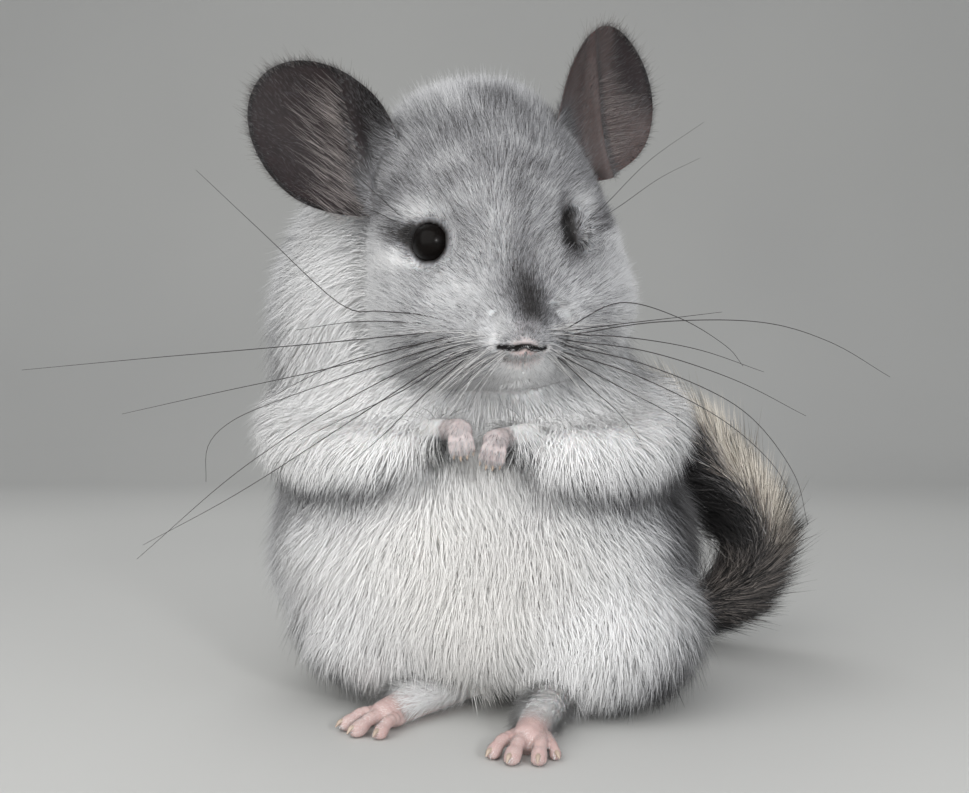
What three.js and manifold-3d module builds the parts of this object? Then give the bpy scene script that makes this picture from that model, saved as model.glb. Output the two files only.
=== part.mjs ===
// A chinchilla sitting upright on its haunches with its front paws together: a still model at life size.
// Millimetres, +Z up. The animal looks along -Y. The floor is z = 0, and the origin lies on it, in the
// middle of the flat that the rump sits on. Left and right are the animal's own.
// The solids reach out to the tips of the coat.
import * as THREE from "three";
import { mergeVertices } from "three/addons/utils/BufferGeometryUtils.js";
import Module from "manifold-3d";

const wasm = await Module();
wasm.setup();

// The gap between two pieces that touch, and a length greater than the whole animal
const GAP = 0.35;
const FAR = 400;

// A neighbour's room is a coarser ball than the neighbour, grown enough to clear its faces
const THIGH_ROOM = { detail: 2, grow: 1.4 };
const EYE_ROOM = { detail: 1, grow: 1.5 };
const NOSE_ROOM = { detail: 1, grow: 0.75 };

// Body, as ellipsoids that melt into one another
const RUMP = { at: [0, 9, 50], radii: [81, 65, 56] };
const LOIN = { at: [-6, 13, 90], radii: [71, 54, 50] };
const BACK = { at: [-15, 6, 130], radii: [66, 52, 70] };
const NAPE = { at: [-7, -4, 176], radii: [46, 36, 32] };
const CHEST_ROLL = { at: [-3, -33, 63], radii: [62, 30, 21] };
const BELLY = { at: [2, -34, 38], radii: [58, 30, 28] };
const THROAT = { at: [0, -26, 104], radii: [50, 30, 26] };
const BODY_MIDDLE = [-2, 4, 92];
const BODY_BLEND = 16;
const BODY_DETAIL = 5;
const NECK_CUT = { at: [0, -40, 104], slope: 35 };

// Hind legs: each thigh is an ellipsoid, and each foot points its toes along its heading
const THIGH_LEFT = { at: [37, -31, 28], radii: [40, 34, 30] };
const THIGH_RIGHT = { at: [-32, -23, 32], radii: [37, 33, 28] };
const THIGH_DETAIL = 3;
const FOOT_LEFT = { at: [12.5, -79, 0], heading: 18 };
const FOOT_RIGHT = { at: [-31.5, -55, 0], heading: 44 };
const FOOT_HEEL = { reach: 40, height: 8, radius: 7 };
const FOOT_ARCH = { reach: 15, height: 6.4, radius: 6.2 };
const FOOT_BALL = { reach: 0, height: 3.4, radius: 5.2 };
const TOES = [
  { across: -5.4, length: 10, radius: 2.3, fan: -16 },
  { across: -0.6, length: 13.5, radius: 2.6, fan: -3 },
  { across: 4.4, length: 11.5, radius: 2.5, fan: 10 },
  { across: 7, length: 5, radius: 1.8, fan: 34 },
];
const TOE_ROOT = { spread: 0.7, back: 3, height: 3.2 };
const HIND_CLAW = { length: 2.4, radius: 0.9 };

// Front legs: the arms run from the shoulder round the elbow to the wrist
const ARM_LEFT = [[50, 0, 112], [57, -22, 93], [41, -47, 86], [8, -62, 90]];
const ARM_RIGHT = [[-60, 2, 110], [-64, -20, 93], [-46, -45, 87], [-14, -61, 91]];
const ARM_RADII = [15, 17.5, 15.5, 10];
const HAND_LEFT = { at: [3, -70.5, 87], lean: 13 };
const HAND_RIGHT = { at: [-8.5, -69.5, 89.5], lean: -9 };
const PALM_RADII = [5, 3.4, 4.6];
const FINGER = { length: 9.5, radius: 1.15, spacing: 2.6, count: 4, longest: 1.4, shorten: 0.9 };
const FRONT_CLAW = { length: 1.3, radius: 0.6 };

// Head: its own frame has the point midway between the eyes as its origin
const HEAD = { at: [5, -50, 154], yaw: 10, roll: 6 };
const CRANIUM = { at: [0, 18, 11], radii: [39, 34, 37] };
const FOREHEAD = { at: [0, 3, 4], radii: [25, 22, 34] };
const CHEEK = { at: [20.5, 6, -22], radii: [23, 22, 24] };
const TEMPLE = { at: [24, 12, -4], radii: [16, 17, 20] };
const SNOUT = { at: [0, -14, -31], radii: [14, 14, 13] };
const CHIN = { at: [0, -3, -39], radii: [24, 16, 9.5] };
const CROWN = { at: [-2, 24, 34], radii: [31, 24, 19] };
const HEAD_MIDDLE = [0, 8, -6];
const HEAD_BLEND = 10;
const HEAD_DETAIL = 5;

// Face
const EYE = { at: [22.4, -4.6, 0], radii: [6.3, 6.3, 6.3] };
const EYE_DETAIL = 2;
const SOCKET_DETAIL = 2;
const SOCKET = { at: [27.5, -11, 0.5], radii: [9, 9, 8.5] };
const NOSE = { at: [0, -27.5, -35.5], radii: [6.2, 3.4, 3.8] };
const NOSE_DETAIL = 1;
const MUZZLE_DETAIL = 2;
const MUZZLE_CUT = { at: [0, -22, -37], radii: [18, 19, 16] };
const MOUTH = { at: [0, -20, -42.5], slope: 12 };

// Ears: a round cup with a fold on the side next to the crown, narrower at the root. Lengths are in
// millimetres, and the places of the fold are shares of the half width. The cup's sides are steep, so
// its room grows more through the sheet than round the rim
const EAR = { length: 59.2, halfWidth: 21.3, rootNarrowing: 0.8, thickness: 3, cup: 8, rootCup: 6 };
const EAR_FOLD = { depth: 4.5, across: 0.5, width: 0.15 };
const EAR_ROOM = { sheet: 3, rim: 2 };
const EAR_LEFT = { at: [25.7, 20.6, 21.2], turn: 27.5, lean: 36, back: 6.7 };
const EAR_RIGHT = { at: [-29.4, 21.8, 17.3], turn: -13.4, lean: -41.9, back: -3.9 };

// Tail, from the rump round to the tip
const TAIL_PATH = [
  [36, 58, 12], [66, 66, 8.4], [94, 62, 15], [110, 57, 30],
  [112, 53, 48], [103, 50, 65], [90, 50, 81], [76, 52, 95], [65, 56, 106],
];
const TAIL_RADII = [9, 10.5, 11.5, 14, 18, 20, 19, 14, 6];
const TAIL_FLATNESS = 0.85;
const TAIL_CUTS = [0.34, 0.66];

// Whiskers: each leaves its pad at a rise above the level, and its tip hangs down by the droop
const WHISKER_RADIUS = 0.3;
const WHISKER_SWEEP = 0.1;
const WHISKER_TAPER = [1.3, 1, 0.85];
const WHISKER_ROWS = { top: 4, apart: 1.5 };
const PAD_DETAIL = 1;
const WHISKER_PAD = { at: [10.5, -19, -31], radii: [7, 7, 8] };
const WHISKERS = {
  left: [
    { rise: 6, length: 46, droop: 2 },
    { rise: -3, length: 104, droop: 14 },
    { rise: -16, length: 82, droop: 7 },
    { rise: -9, length: 84, droop: 52 },
    { rise: -17, length: 80, droop: 42 },
    { rise: -34, length: 56, droop: 14 },
  ],
  right: [
    { rise: 27, length: 92, droop: -6 },
    { rise: -5, length: 136, droop: 3 },
    { rise: -12, length: 106, droop: 4 },
    { rise: -10, length: 98, droop: 52 },
    { rise: -21, length: 84, droop: 30 },
    { rise: -36, length: 52, droop: 8 },
  ],
};

// Colours
const WHITE_FUR = 0xe9e9ea;
const GREY_FUR = 0xb9babd;
const DARK_FUR = 0x3a3634;
const PINK_SKIN = 0xdcb2ad;
const EAR_SKIN = 0x4a3f42;
const EYE_BLACK = 0x050505;

const radians = (degrees) => THREE.MathUtils.degToRad(degrees);
const vector = (array) => new THREE.Vector3(...array);

// A closed geometry as a solid, without its normals and the flat triangles at a lathe's poles
function solidOf(geometry) {
  const bare = new THREE.BufferGeometry();
  bare.setAttribute("position", geometry.getAttribute("position"));
  if (geometry.index) bare.setIndex(geometry.index);
  const merged = mergeVertices(bare, 1e-4);
  const corners = merged.index.array;
  const kept = [];
  for (let i = 0; i < corners.length; i += 3) {
    const [a, b, c] = corners.slice(i, i + 3);
    if (a !== b && b !== c && c !== a) kept.push(a, b, c);
  }
  return new wasm.Manifold(
    new wasm.Mesh({
      numProp: 3,
      vertProperties: new Float32Array(merged.attributes.position.array),
      triVerts: new Uint32Array(kept),
    }),
  );
}

// A solid back as a geometry
function geometryOf(solid) {
  const mesh = solid.getMesh();
  const positions = new Float32Array(mesh.numVert * 3);
  for (let i = 0; i < mesh.numVert; i++) {
    positions.set(mesh.vertProperties.subarray(i * mesh.numProp, i * mesh.numProp + 3), i * 3);
  }
  const geometry = new THREE.BufferGeometry();
  geometry.setAttribute("position", new THREE.BufferAttribute(positions, 3));
  geometry.setIndex(new THREE.BufferAttribute(new Uint32Array(mesh.triVerts), 1));
  geometry.computeVertexNormals();
  return geometry;
}

const moved = (solid, matrix) => solidOf(geometryOf(solid).applyMatrix4(matrix));

// The largest body of a solid, without the slivers that a cut can leave
function largest(solid) {
  return solid.decompose().reduce((best, body) => (body.volume() > best.volume() ? body : best));
}

const cut = (solid, ...tools) => largest(tools.reduce((left, tool) => left.subtract(tool), solid));

// Everything on the side of a plane that its normal points to
function halfSpace(at, normal) {
  const box = new THREE.BoxGeometry(FAR, FAR, FAR);
  box.translate(0, 0, FAR / 2);
  box.applyQuaternion(new THREE.Quaternion().setFromUnitVectors(new THREE.Vector3(0, 0, 1), normal));
  box.translate(at.x, at.y, at.z);
  return solidOf(box);
}

// A solid in two pieces with a gap between them, the piece on the normal's side first
function parted(solid, at, normal) {
  const step = normal.clone().multiplyScalar(GAP / 2);
  const front = solid.intersect(halfSpace(at.clone().add(step), normal));
  const back = solid.intersect(halfSpace(at.clone().sub(step), normal.clone().negate()));
  return [largest(front), largest(back)];
}

const underFloor = halfSpace(new THREE.Vector3(), new THREE.Vector3(0, 0, -1));

// The distance from an ellipsoid's surface, below zero inside
function distanceTo({ at, radii }) {
  return (point) => {
    const x = (point.x - at[0]) / radii[0];
    const y = (point.y - at[1]) / radii[1];
    const z = (point.z - at[2]) / radii[2];
    const near = Math.hypot(x, y, z);
    const steep = Math.hypot(x / radii[0], y / radii[1], z / radii[2]);
    return steep > 0 ? (near * (near - 1)) / steep : -Math.min(...radii);
  };
}

// An ellipsoid given for the left side, placed on the side whose sign is given
const onSide = ({ at, radii }, side) => ({ at: [at[0] * side, at[1], at[2]], radii });

// Several ellipsoids melted into one field, with fillets as wide as the reach
function melted(balls, reach) {
  const distances = balls.map(distanceTo);
  const blend = (a, b) => {
    const overlap = Math.max(reach - Math.abs(a - b), 0) / reach;
    return Math.min(a, b) - (overlap * overlap * reach) / 4;
  };
  return (point) => distances.map((distance) => distance(point)).reduce(blend);
}

// A ball of even triangles, with its points pushed out from the middle to the surface of a field
function swollen(field, middle, detail, grow = 0) {
  const geometry = new THREE.IcosahedronGeometry(1, detail);
  const places = geometry.getAttribute("position");
  const way = new THREE.Vector3();
  const point = new THREE.Vector3();
  for (let i = 0; i < places.count; i++) {
    way.fromBufferAttribute(places, i).normalize();
    let inside = 0;
    let outside = FAR / 2;
    while (outside - inside > 1e-4) {
      const reach = (inside + outside) / 2;
      point.fromArray(middle).addScaledVector(way, reach);
      if (field(point) < grow) inside = reach;
      else outside = reach;
    }
    places.setXYZ(i, point.x, point.y, point.z);
  }
  return solidOf(geometry);
}

function ellipsoid({ at, radii }, detail, grow = 0) {
  const geometry = new THREE.IcosahedronGeometry(1, detail);
  geometry.scale(...radii.map((radius) => radius + grow));
  geometry.translate(...at);
  return solidOf(geometry);
}

// A value read off a row of numbers that are spread evenly from 0 to 1
function between(row, share) {
  const place = THREE.MathUtils.clamp(share, 0, 1) * (row.length - 1);
  const first = Math.min(Math.floor(place), row.length - 2);
  return THREE.MathUtils.lerp(row[first], row[first + 1], THREE.MathUtils.smoothstep(place - first, 0, 1));
}

// Places on a curve, each with axes that turn as little as they can from the one before
function framesAlong(curve, shares) {
  let up = new THREE.Vector3(0, 0, 1);
  if (Math.abs(curve.getTangentAt(0).z) > 0.9) up.set(0, 1, 0);
  return shares.map((share) => {
    const way = curve.getTangentAt(share);
    const side = new THREE.Vector3().crossVectors(way, up).normalize();
    up = new THREE.Vector3().crossVectors(side, way).normalize();
    return { at: curve.getPointAt(share), way, side, up };
  });
}

// A limb with round ends: a lathe's turned profile whose axis is bent to follow a smooth path
function limb(path, radii, { steps, sides, flatness = 1, grow = 0 }) {
  const curve = new THREE.CatmullRomCurve3(path.map(vector));
  const length = curve.getLength() + 2 * grow;
  const shares = Array.from({ length: steps + 1 }, (_, i) => (1 - Math.cos((Math.PI * i) / steps)) / 2);
  const profile = shares.map((share, i) => {
    const radius = between(radii, share) + grow;
    const left = Math.min(share, 1 - share) * length;
    const rounded = left < radius ? Math.sqrt(left * (2 * radius - left)) : radius;
    return new THREE.Vector2(rounded, i);
  });
  const geometry = new THREE.LatheGeometry(profile, sides);
  const places = geometry.getAttribute("position");
  const frames = framesAlong(curve, shares);
  for (let i = 0; i < places.count; i++) {
    const step = Math.round(places.getY(i));
    const { at, way, side, up } = frames[step];
    const point = at.clone().addScaledVector(side, places.getX(i)).addScaledVector(up, places.getZ(i) * flatness);
    if (step === 0) point.addScaledVector(way, -grow);
    if (step === steps) point.addScaledVector(way, grow);
    places.setXYZ(i, point.x, point.y, point.z);
  }
  return solidOf(geometry);
}

// The long part of a hind foot, from the ball at the front to the heel at +Y
function sole(grow = 0) {
  const bones = [FOOT_HEEL, FOOT_ARCH, FOOT_BALL];
  const path = bones.map((bone) => [0, bone.reach, bone.height]);
  return limb(path, bones.map((bone) => bone.radius), { steps: 6, sides: 9, grow });
}

// A hind foot: toes along -Y, standing on z = 0
function hindFoot(side) {
  let foot = sole();
  for (const toe of TOES) {
    const fan = radians(toe.fan);
    const reached = (length, height) => [
      side * (toe.across + Math.sin(fan) * length),
      -Math.cos(fan) * length,
      height,
    ];
    const root = [side * toe.across * TOE_ROOT.spread, TOE_ROOT.back, TOE_ROOT.height];
    const knuckle = reached(toe.length * 0.5, toe.radius * 1.3);
    const end = reached(toe.length, toe.radius * 0.85);
    const clawRoot = reached(toe.length - HIND_CLAW.length / 2, toe.radius * 0.85);
    const clawTip = reached(toe.length + HIND_CLAW.length, toe.radius * 0.7);
    const radii = [toe.radius, toe.radius * 0.92, toe.radius * 1.08];
    foot = foot.add(limb([root, knuckle, end], radii, { steps: 4, sides: 5 }));
    foot = foot.add(limb([clawRoot, clawTip], [HIND_CLAW.radius, HIND_CLAW.radius / 2], { steps: 2, sides: 3 }));
  }
  return foot.subtract(underFloor);
}

const palm = (grow = 0) => ellipsoid({ at: [0, 0, 0], radii: PALM_RADII }, 1, grow);

// A front paw: fingers pointing down, the palm towards the body
function frontPaw() {
  let paw = palm();
  for (let i = 0; i < FINGER.count; i++) {
    const across = (i - (FINGER.count - 1) / 2) * FINGER.spacing;
    const end = -FINGER.length + Math.abs(i - FINGER.longest) * FINGER.shorten;
    const path = [[across * 0.7, -0.6, -1], [across, -2, -4.5], [across * 0.95, -1.2, end]];
    const clawRoot = [across * 0.95, -1.2, end + FRONT_CLAW.length];
    const clawTip = [across * 0.93, -1, end - FRONT_CLAW.length];
    paw = paw.add(limb(path, [FINGER.radius, FINGER.radius], { steps: 3, sides: 4 }));
    paw = paw.add(limb([clawRoot, clawTip], [FRONT_CLAW.radius, FRONT_CLAW.radius / 2], { steps: 2, sides: 3 }));
  }
  return paw;
}

const arm = (path, grow = 0) => limb(path, ARM_RADII, { steps: 9, sides: 10, grow });

// An ear: a ball pressed flat, given a round outline and bent into a cup that opens to -Y
function ear({ at, turn, lean, back }, side, grow = 0) {
  const geometry = new THREE.SphereGeometry(1, 20, 9);
  geometry.rotateX(Math.PI / 2);
  const places = geometry.getAttribute("position");
  for (let i = 0; i < places.count; i++) {
    const z = ((places.getZ(i) + 1) / 2) * (EAR.length + 2 * grow) - grow;
    const share = z / EAR.length;
    const widening = THREE.MathUtils.smoothstep(share, -0.1, 0.5);
    const halfWidth = EAR.halfWidth * THREE.MathUtils.lerp(EAR.rootNarrowing, 1, widening);
    const x = places.getX(i) * (halfWidth + EAR_ROOM.rim * grow);
    const across = x / halfWidth;
    const cup = EAR.cup + EAR.rootCup * (1 - share) ** 2;
    const ridge = Math.exp(-(((across * side + EAR_FOLD.across) / EAR_FOLD.width) ** 2));
    const fold = EAR_FOLD.depth * ridge * THREE.MathUtils.smoothstep(1 - share, 0.1, 0.5);
    const y = places.getY(i) * (EAR.thickness / 2 + EAR_ROOM.sheet * grow) - cup * across * across - fold;
    places.setXYZ(i, x, y, z);
  }
  geometry.rotateX(-radians(back));
  geometry.rotateZ(radians(turn));
  geometry.rotateY(radians(lean));
  geometry.translate(...at);
  return solidOf(geometry);
}

// The whiskers of one side, joined to the pad that they grow from
function whiskers(padded, side, shape) {
  const root = onSide(WHISKER_PAD, side).at;
  return shape.reduce((joined, { rise, length, droop }, i) => {
    const start = [root[0], root[1], root[2] + WHISKER_ROWS.top - WHISKER_ROWS.apart * i];
    const slope = radians(rise - side * HEAD.roll);
    const reach = Math.cos(slope) * length;
    const climb = Math.sin(slope) * length;
    const path = [0, 0.35, 0.7, 1].map((share) => [
      start[0] + side * reach * share,
      start[1] + length * WHISKER_SWEEP * share,
      start[2] + climb * share - droop * share ** 3,
    ]);
    const radii = WHISKER_TAPER.map((share) => WHISKER_RADIUS * share);
    return joined.add(limb(path, radii, { steps: 7, sides: 3 }));
  }, padded);
}

const root = new THREE.Group();

function add(parent, name, solid, color, roughness) {
  const material = new THREE.MeshStandardMaterial({ color, roughness, metalness: 0 });
  const mesh = new THREE.Mesh(geometryOf(solid), material);
  mesh.name = name;
  parent.add(mesh);
  return mesh;
}

// The place of a paw or foot, which is made in a frame of its own
function placeOf({ at, lean = 0, heading = 0 }) {
  const object = new THREE.Object3D();
  object.position.fromArray(at);
  object.rotation.set(0, radians(lean), -radians(heading));
  object.updateMatrix();
  return object;
}

function addPlaced(name, solid, place, color) {
  const mesh = add(root, name, solid, color, 0.8);
  mesh.position.copy(place.position);
  mesh.rotation.copy(place.rotation);
}

// Head and face, in the head's own frame

const headGroup = new THREE.Group();
headGroup.position.fromArray(HEAD.at);
headGroup.rotation.set(0, -radians(HEAD.roll), radians(HEAD.yaw), "ZYX");
headGroup.updateMatrix();
root.add(headGroup);

const headField = melted(
  [CRANIUM, FOREHEAD, CHEEK, onSide(CHEEK, -1), TEMPLE, onSide(TEMPLE, -1), SNOUT, CHIN, CROWN],
  HEAD_BLEND,
);
const wholeHead = swollen(headField, HEAD_MIDDLE, HEAD_DETAIL);
const headSpace = swollen(headField, HEAD_MIDDLE, HEAD_DETAIL, GAP);
const noseRoom = ellipsoid(NOSE, NOSE_ROOM.detail, NOSE_ROOM.grow);
const faces = [
  { name: "left", side: 1, shape: EAR_LEFT },
  { name: "right", side: -1, shape: EAR_RIGHT },
];

let head = wholeHead.subtract(ellipsoid(MUZZLE_CUT, MUZZLE_DETAIL, GAP));
let muzzle = wholeHead.intersect(ellipsoid(MUZZLE_CUT, MUZZLE_DETAIL)).subtract(noseRoom);
for (const { name, side, shape } of faces) {
  const eye = onSide(EYE, side);
  const pad = onSide(WHISKER_PAD, side);
  const padRoom = ellipsoid(pad, PAD_DETAIL, GAP);
  const eyeRoom = ellipsoid(eye, EYE_ROOM.detail, EYE_ROOM.grow);
  head = cut(head, ellipsoid(onSide(SOCKET, side), SOCKET_DETAIL), eyeRoom, padRoom);
  muzzle = muzzle.subtract(padRoom);
  const padSkin = cut(wholeHead.intersect(ellipsoid(pad, PAD_DETAIL)), noseRoom);
  add(headGroup, "whiskers_" + name, whiskers(padSkin, side, WHISKERS[name]), GREY_FUR, 0.9);
  add(headGroup, "eye_" + name, ellipsoid(eye, EYE_DETAIL), EYE_BLACK, 0.05);
  add(headGroup, "ear_" + name, cut(ear(shape, side), headSpace), EAR_SKIN, 0.8);
}
const mouthSlope = radians(MOUTH.slope);
const mouthUp = new THREE.Vector3(0, Math.sin(mouthSlope), Math.cos(mouthSlope));
const [upperMuzzle, jaw] = parted(muzzle, vector(MOUTH.at), mouthUp);
add(headGroup, "head", head, GREY_FUR, 0.9);
add(headGroup, "muzzle", upperMuzzle, GREY_FUR, 0.9);
add(headGroup, "jaw", jaw, WHITE_FUR, 0.9);
add(headGroup, "nose", ellipsoid(NOSE, NOSE_DETAIL), PINK_SKIN, 0.6);

// The room that the head, with its ears, takes up among the pieces around it
const headRoom = moved(
  faces.reduce((room, { side, shape }) => room.add(ear(shape, side, GAP)), headSpace),
  headGroup.matrix,
);

// Legs

const footPlaces = { left: placeOf(FOOT_LEFT), right: placeOf(FOOT_RIGHT) };
const handPlaces = { left: placeOf(HAND_LEFT), right: placeOf(HAND_RIGHT) };
const footRooms = faces.map(({ name }) => moved(sole(GAP), footPlaces[name].matrix));
const handRooms = faces.map(({ name }) => moved(palm(GAP), handPlaces[name].matrix));
const thighShapes = { left: THIGH_LEFT, right: THIGH_RIGHT };
const armPaths = { left: ARM_LEFT, right: ARM_RIGHT };
const limbRooms = [...footRooms, ...handRooms];

for (const { name, side } of faces) {
  addPlaced("foot_" + name, hindFoot(side), footPlaces[name], PINK_SKIN);
  addPlaced("hand_" + name, frontPaw(), handPlaces[name], PINK_SKIN);
  const leftThighRoom = ellipsoid(THIGH_LEFT, THIGH_ROOM.detail, THIGH_ROOM.grow);
  const thighTools = side < 0 ? [underFloor, ...footRooms, leftThighRoom] : [underFloor, ...footRooms];
  add(root, "thigh_" + name, cut(ellipsoid(thighShapes[name], THIGH_DETAIL), ...thighTools), WHITE_FUR, 0.9);
  add(root, "arm_" + name, cut(arm(armPaths[name]), headRoom, ...handRooms), WHITE_FUR, 0.9);
  limbRooms.push(ellipsoid(thighShapes[name], THIGH_ROOM.detail, THIGH_ROOM.grow), arm(armPaths[name], GAP));
}

// Body and tail

function tail(grow = 0) {
  return limb(TAIL_PATH, TAIL_RADII, { steps: 16, sides: 10, flatness: TAIL_FLATNESS, grow }).subtract(underFloor);
}

const bodyField = melted([RUMP, LOIN, BACK, NAPE, CHEST_ROLL, BELLY, THROAT], BODY_BLEND);
const wholeBody = cut(
  swollen(bodyField, BODY_MIDDLE, BODY_DETAIL),
  underFloor,
  headRoom,
  tail(GAP),
  ...limbRooms,
);
const neckSlope = radians(NECK_CUT.slope);
const neckUp = new THREE.Vector3(0, -Math.sin(neckSlope), Math.cos(neckSlope));
const [neck, trunk] = parted(wholeBody, vector(NECK_CUT.at), neckUp);
add(root, "neck", neck, WHITE_FUR, 0.9);
add(root, "trunk", trunk, WHITE_FUR, 0.9);

const tailCurve = new THREE.CatmullRomCurve3(TAIL_PATH.map(vector));
const [firstCut, secondCut] = TAIL_CUTS;
const [beyond, tailBase] = parted(tail(), tailCurve.getPointAt(firstCut), tailCurve.getTangentAt(firstCut));
const [tailTip, tailMiddle] = parted(beyond, tailCurve.getPointAt(secondCut), tailCurve.getTangentAt(secondCut));
add(root, "tail_base", tailBase, DARK_FUR, 0.9);
add(root, "tail_middle", tailMiddle, DARK_FUR, 0.9);
add(root, "tail_tip", tailTip, DARK_FUR, 0.9);

export default root;
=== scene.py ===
"""A still, life-size chinchilla sitting upright: its skin, coat, eyes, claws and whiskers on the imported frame.

Lengths in the classes are millimetres in the row's frame: the animal faces -Y, its own left is +X, the floor
is z = 0. Blender's own units are metres, and MM turns one into the other. One skin stands for all the flesh,
and the coat is made of closed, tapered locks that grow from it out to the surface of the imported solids.
"""

import logging
import math
from dataclasses import dataclass, field
from enum import Enum
from functools import partial
from typing import Any, Sequence

import bmesh
import bpy
import numpy as np
from mathutils import Matrix, Vector
from mathutils.bvhtree import BVHTree

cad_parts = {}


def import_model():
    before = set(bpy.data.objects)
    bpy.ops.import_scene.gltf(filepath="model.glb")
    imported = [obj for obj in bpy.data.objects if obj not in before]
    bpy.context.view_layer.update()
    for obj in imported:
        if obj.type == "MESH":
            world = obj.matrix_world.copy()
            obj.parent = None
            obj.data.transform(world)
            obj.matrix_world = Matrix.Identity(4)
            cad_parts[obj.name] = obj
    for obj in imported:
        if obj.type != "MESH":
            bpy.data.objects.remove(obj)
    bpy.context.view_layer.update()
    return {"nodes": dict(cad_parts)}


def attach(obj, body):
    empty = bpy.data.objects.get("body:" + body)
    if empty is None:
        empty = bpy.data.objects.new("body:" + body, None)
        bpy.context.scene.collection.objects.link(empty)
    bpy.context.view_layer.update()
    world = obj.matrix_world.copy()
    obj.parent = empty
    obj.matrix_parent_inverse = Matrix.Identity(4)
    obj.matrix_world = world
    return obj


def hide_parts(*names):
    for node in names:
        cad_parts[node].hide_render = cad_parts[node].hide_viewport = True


Array = np.ndarray

MM = 0.001
SEED = 20
BAKE_MAP = "OFBake"
PATCH = 0.003
FLOOR_GAP = 0.15
LONG_HAIR = 8
SPINE_Y = 10
MUZZLE = np.array([-1.2, -28.0, -35.0])

log = logging.getLogger("chinchilla")


# ---------------------------------------------------------------- arithmetic


def linear(code: str) -> tuple[float, float, float, float]:
    """Turns an sRGB hex colour into linear red, green, blue and alpha.

    Args:
        code: Six hex digits, with or without a leading hash.

    Returns:
        The colour as Blender's sockets want it.
    """
    parts = [int(code.lstrip("#")[i : i + 2], 16) / 255 for i in (0, 2, 4)]
    red, green, blue = (c / 12.92 if c <= 0.04045 else ((c + 0.055) / 1.055) ** 2.4 for c in parts)
    return red, green, blue, 1.0


def unit(rows: Array) -> Array:
    """Scales each row to length one."""
    return rows / np.maximum(np.linalg.norm(rows, axis=-1, keepdims=True), 1e-9)


def ramp(values: Array, low: float, high: float) -> Array:
    """Rises smoothly from 0 at low to 1 at high, or falls where low is above high."""
    share = np.clip((values - low) / (high - low), 0, 1)
    return share * share * (3 - 2 * share)


def flattened(rows: Array, normals: Array) -> Array:
    """Lays each row down on the plane across its normal, at length one."""
    return unit(rows - normals * np.sum(rows * normals, axis=1, keepdims=True))


def ripple(points: Array, wavelength: float, seed: int, waves: int = 7) -> Array:
    """A smooth random field, made of a few plane waves.

    Args:
        points: Places, in millimetres.
        wavelength: The mean distance between crests, in millimetres.
        seed: Fixes the waves.
        waves: How many waves are summed.

    Returns:
        One value for each place, mostly between -1 and 1.
    """
    random = np.random.default_rng(seed)
    ways = unit(random.normal(size=(waves, 3))) * random.uniform(0.6, 1.5, (waves, 1))
    phases = random.uniform(0, math.tau, waves)
    return np.sin(points @ ways.T * math.tau / wavelength + phases).sum(axis=1) / math.sqrt(waves * 0.9)


def smooth_path(stops: Sequence[Sequence[float]], count: int) -> Array:
    """Runs a smooth curve through a few stops.

    Args:
        stops: The places that the curve passes through.
        count: How many points are read off it.

    Returns:
        The points, evenly spread by stop.
    """
    given = np.array(stops, float)
    padded = np.vstack([2 * given[0] - given[1], given, 2 * given[-1] - given[-2]])
    places = np.linspace(0, len(given) - 1, count)
    first = np.minimum(places.astype(int), len(given) - 2)
    t = (places - first)[:, None]
    a, b, c, d = (padded[first + k] for k in range(4))
    return 0.5 * (2 * b + (c - a) * t + (2 * a - 5 * b + 4 * c - d) * t**2 + (3 * b - a - 3 * c + d) * t**3)


def from_frame(points: Array, matrix: Matrix) -> Array:
    """Places in a part's own frame, read in the row's."""
    grid = np.array(matrix)
    return points @ grid[:3, :3].T + grid[:3, 3]


def to_frame(points: Array, matrix: Matrix) -> Array:
    """Places in the row's frame, read in a part's own frame."""
    return from_frame(points, matrix.inverted())


def to_row(ways: Array, matrix: Matrix) -> Array:
    """Directions in a part's own frame, turned into the row's."""
    return ways @ np.array(matrix.to_3x3()).T


# ---------------------------------------------------------------- the photograph's camera


@dataclass(frozen=True)
class Viewpoint:
    """The photograph's camera: level, looking along +Y.

    Attributes:
        at: Where the lens is, in millimetres.
        focal: The focal length in pixels of the photograph's frame.
        width: The frame's width in pixels.
        height: The frame's height in pixels.
        sensor: Blender's sensor width in millimetres.
    """

    at: tuple[float, float, float] = (0.0, -400.0, 104.0)
    focal: float = 1100.0
    width: int = 969
    height: int = 793
    sensor: float = 36.0

    def place(self, across: float, down: float, y: float) -> Array:
        """The place that a pixel shows at a depth.

        Args:
            across: Pixels from the frame's left side.
            down: Pixels from its top.
            y: The place's y, in millimetres.

        Returns:
            The place, in millimetres.
        """
        reach = (y - self.at[1]) / self.focal
        return np.array([(across - self.width / 2) * reach, y, self.at[2] - (down - self.height / 2) * reach])

    def build(self) -> bpy.types.Object:
        """Makes the scene's camera and returns it."""
        data = bpy.data.cameras.new("camera")
        data.sensor_width = self.sensor
        data.lens = self.sensor * self.focal / self.width
        camera = bpy.data.objects.new("camera", data)
        camera.location = Vector(self.at) * MM
        camera.rotation_euler = (math.pi / 2, 0, 0)
        bpy.context.scene.collection.objects.link(camera)
        bpy.context.scene.camera = camera
        return camera


VIEW = Viewpoint()


# ---------------------------------------------------------------- surfaces


class Combine(Enum):
    """How one closed surface acts on another."""

    JOIN = "UNION"
    CUT = "DIFFERENCE"


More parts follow.
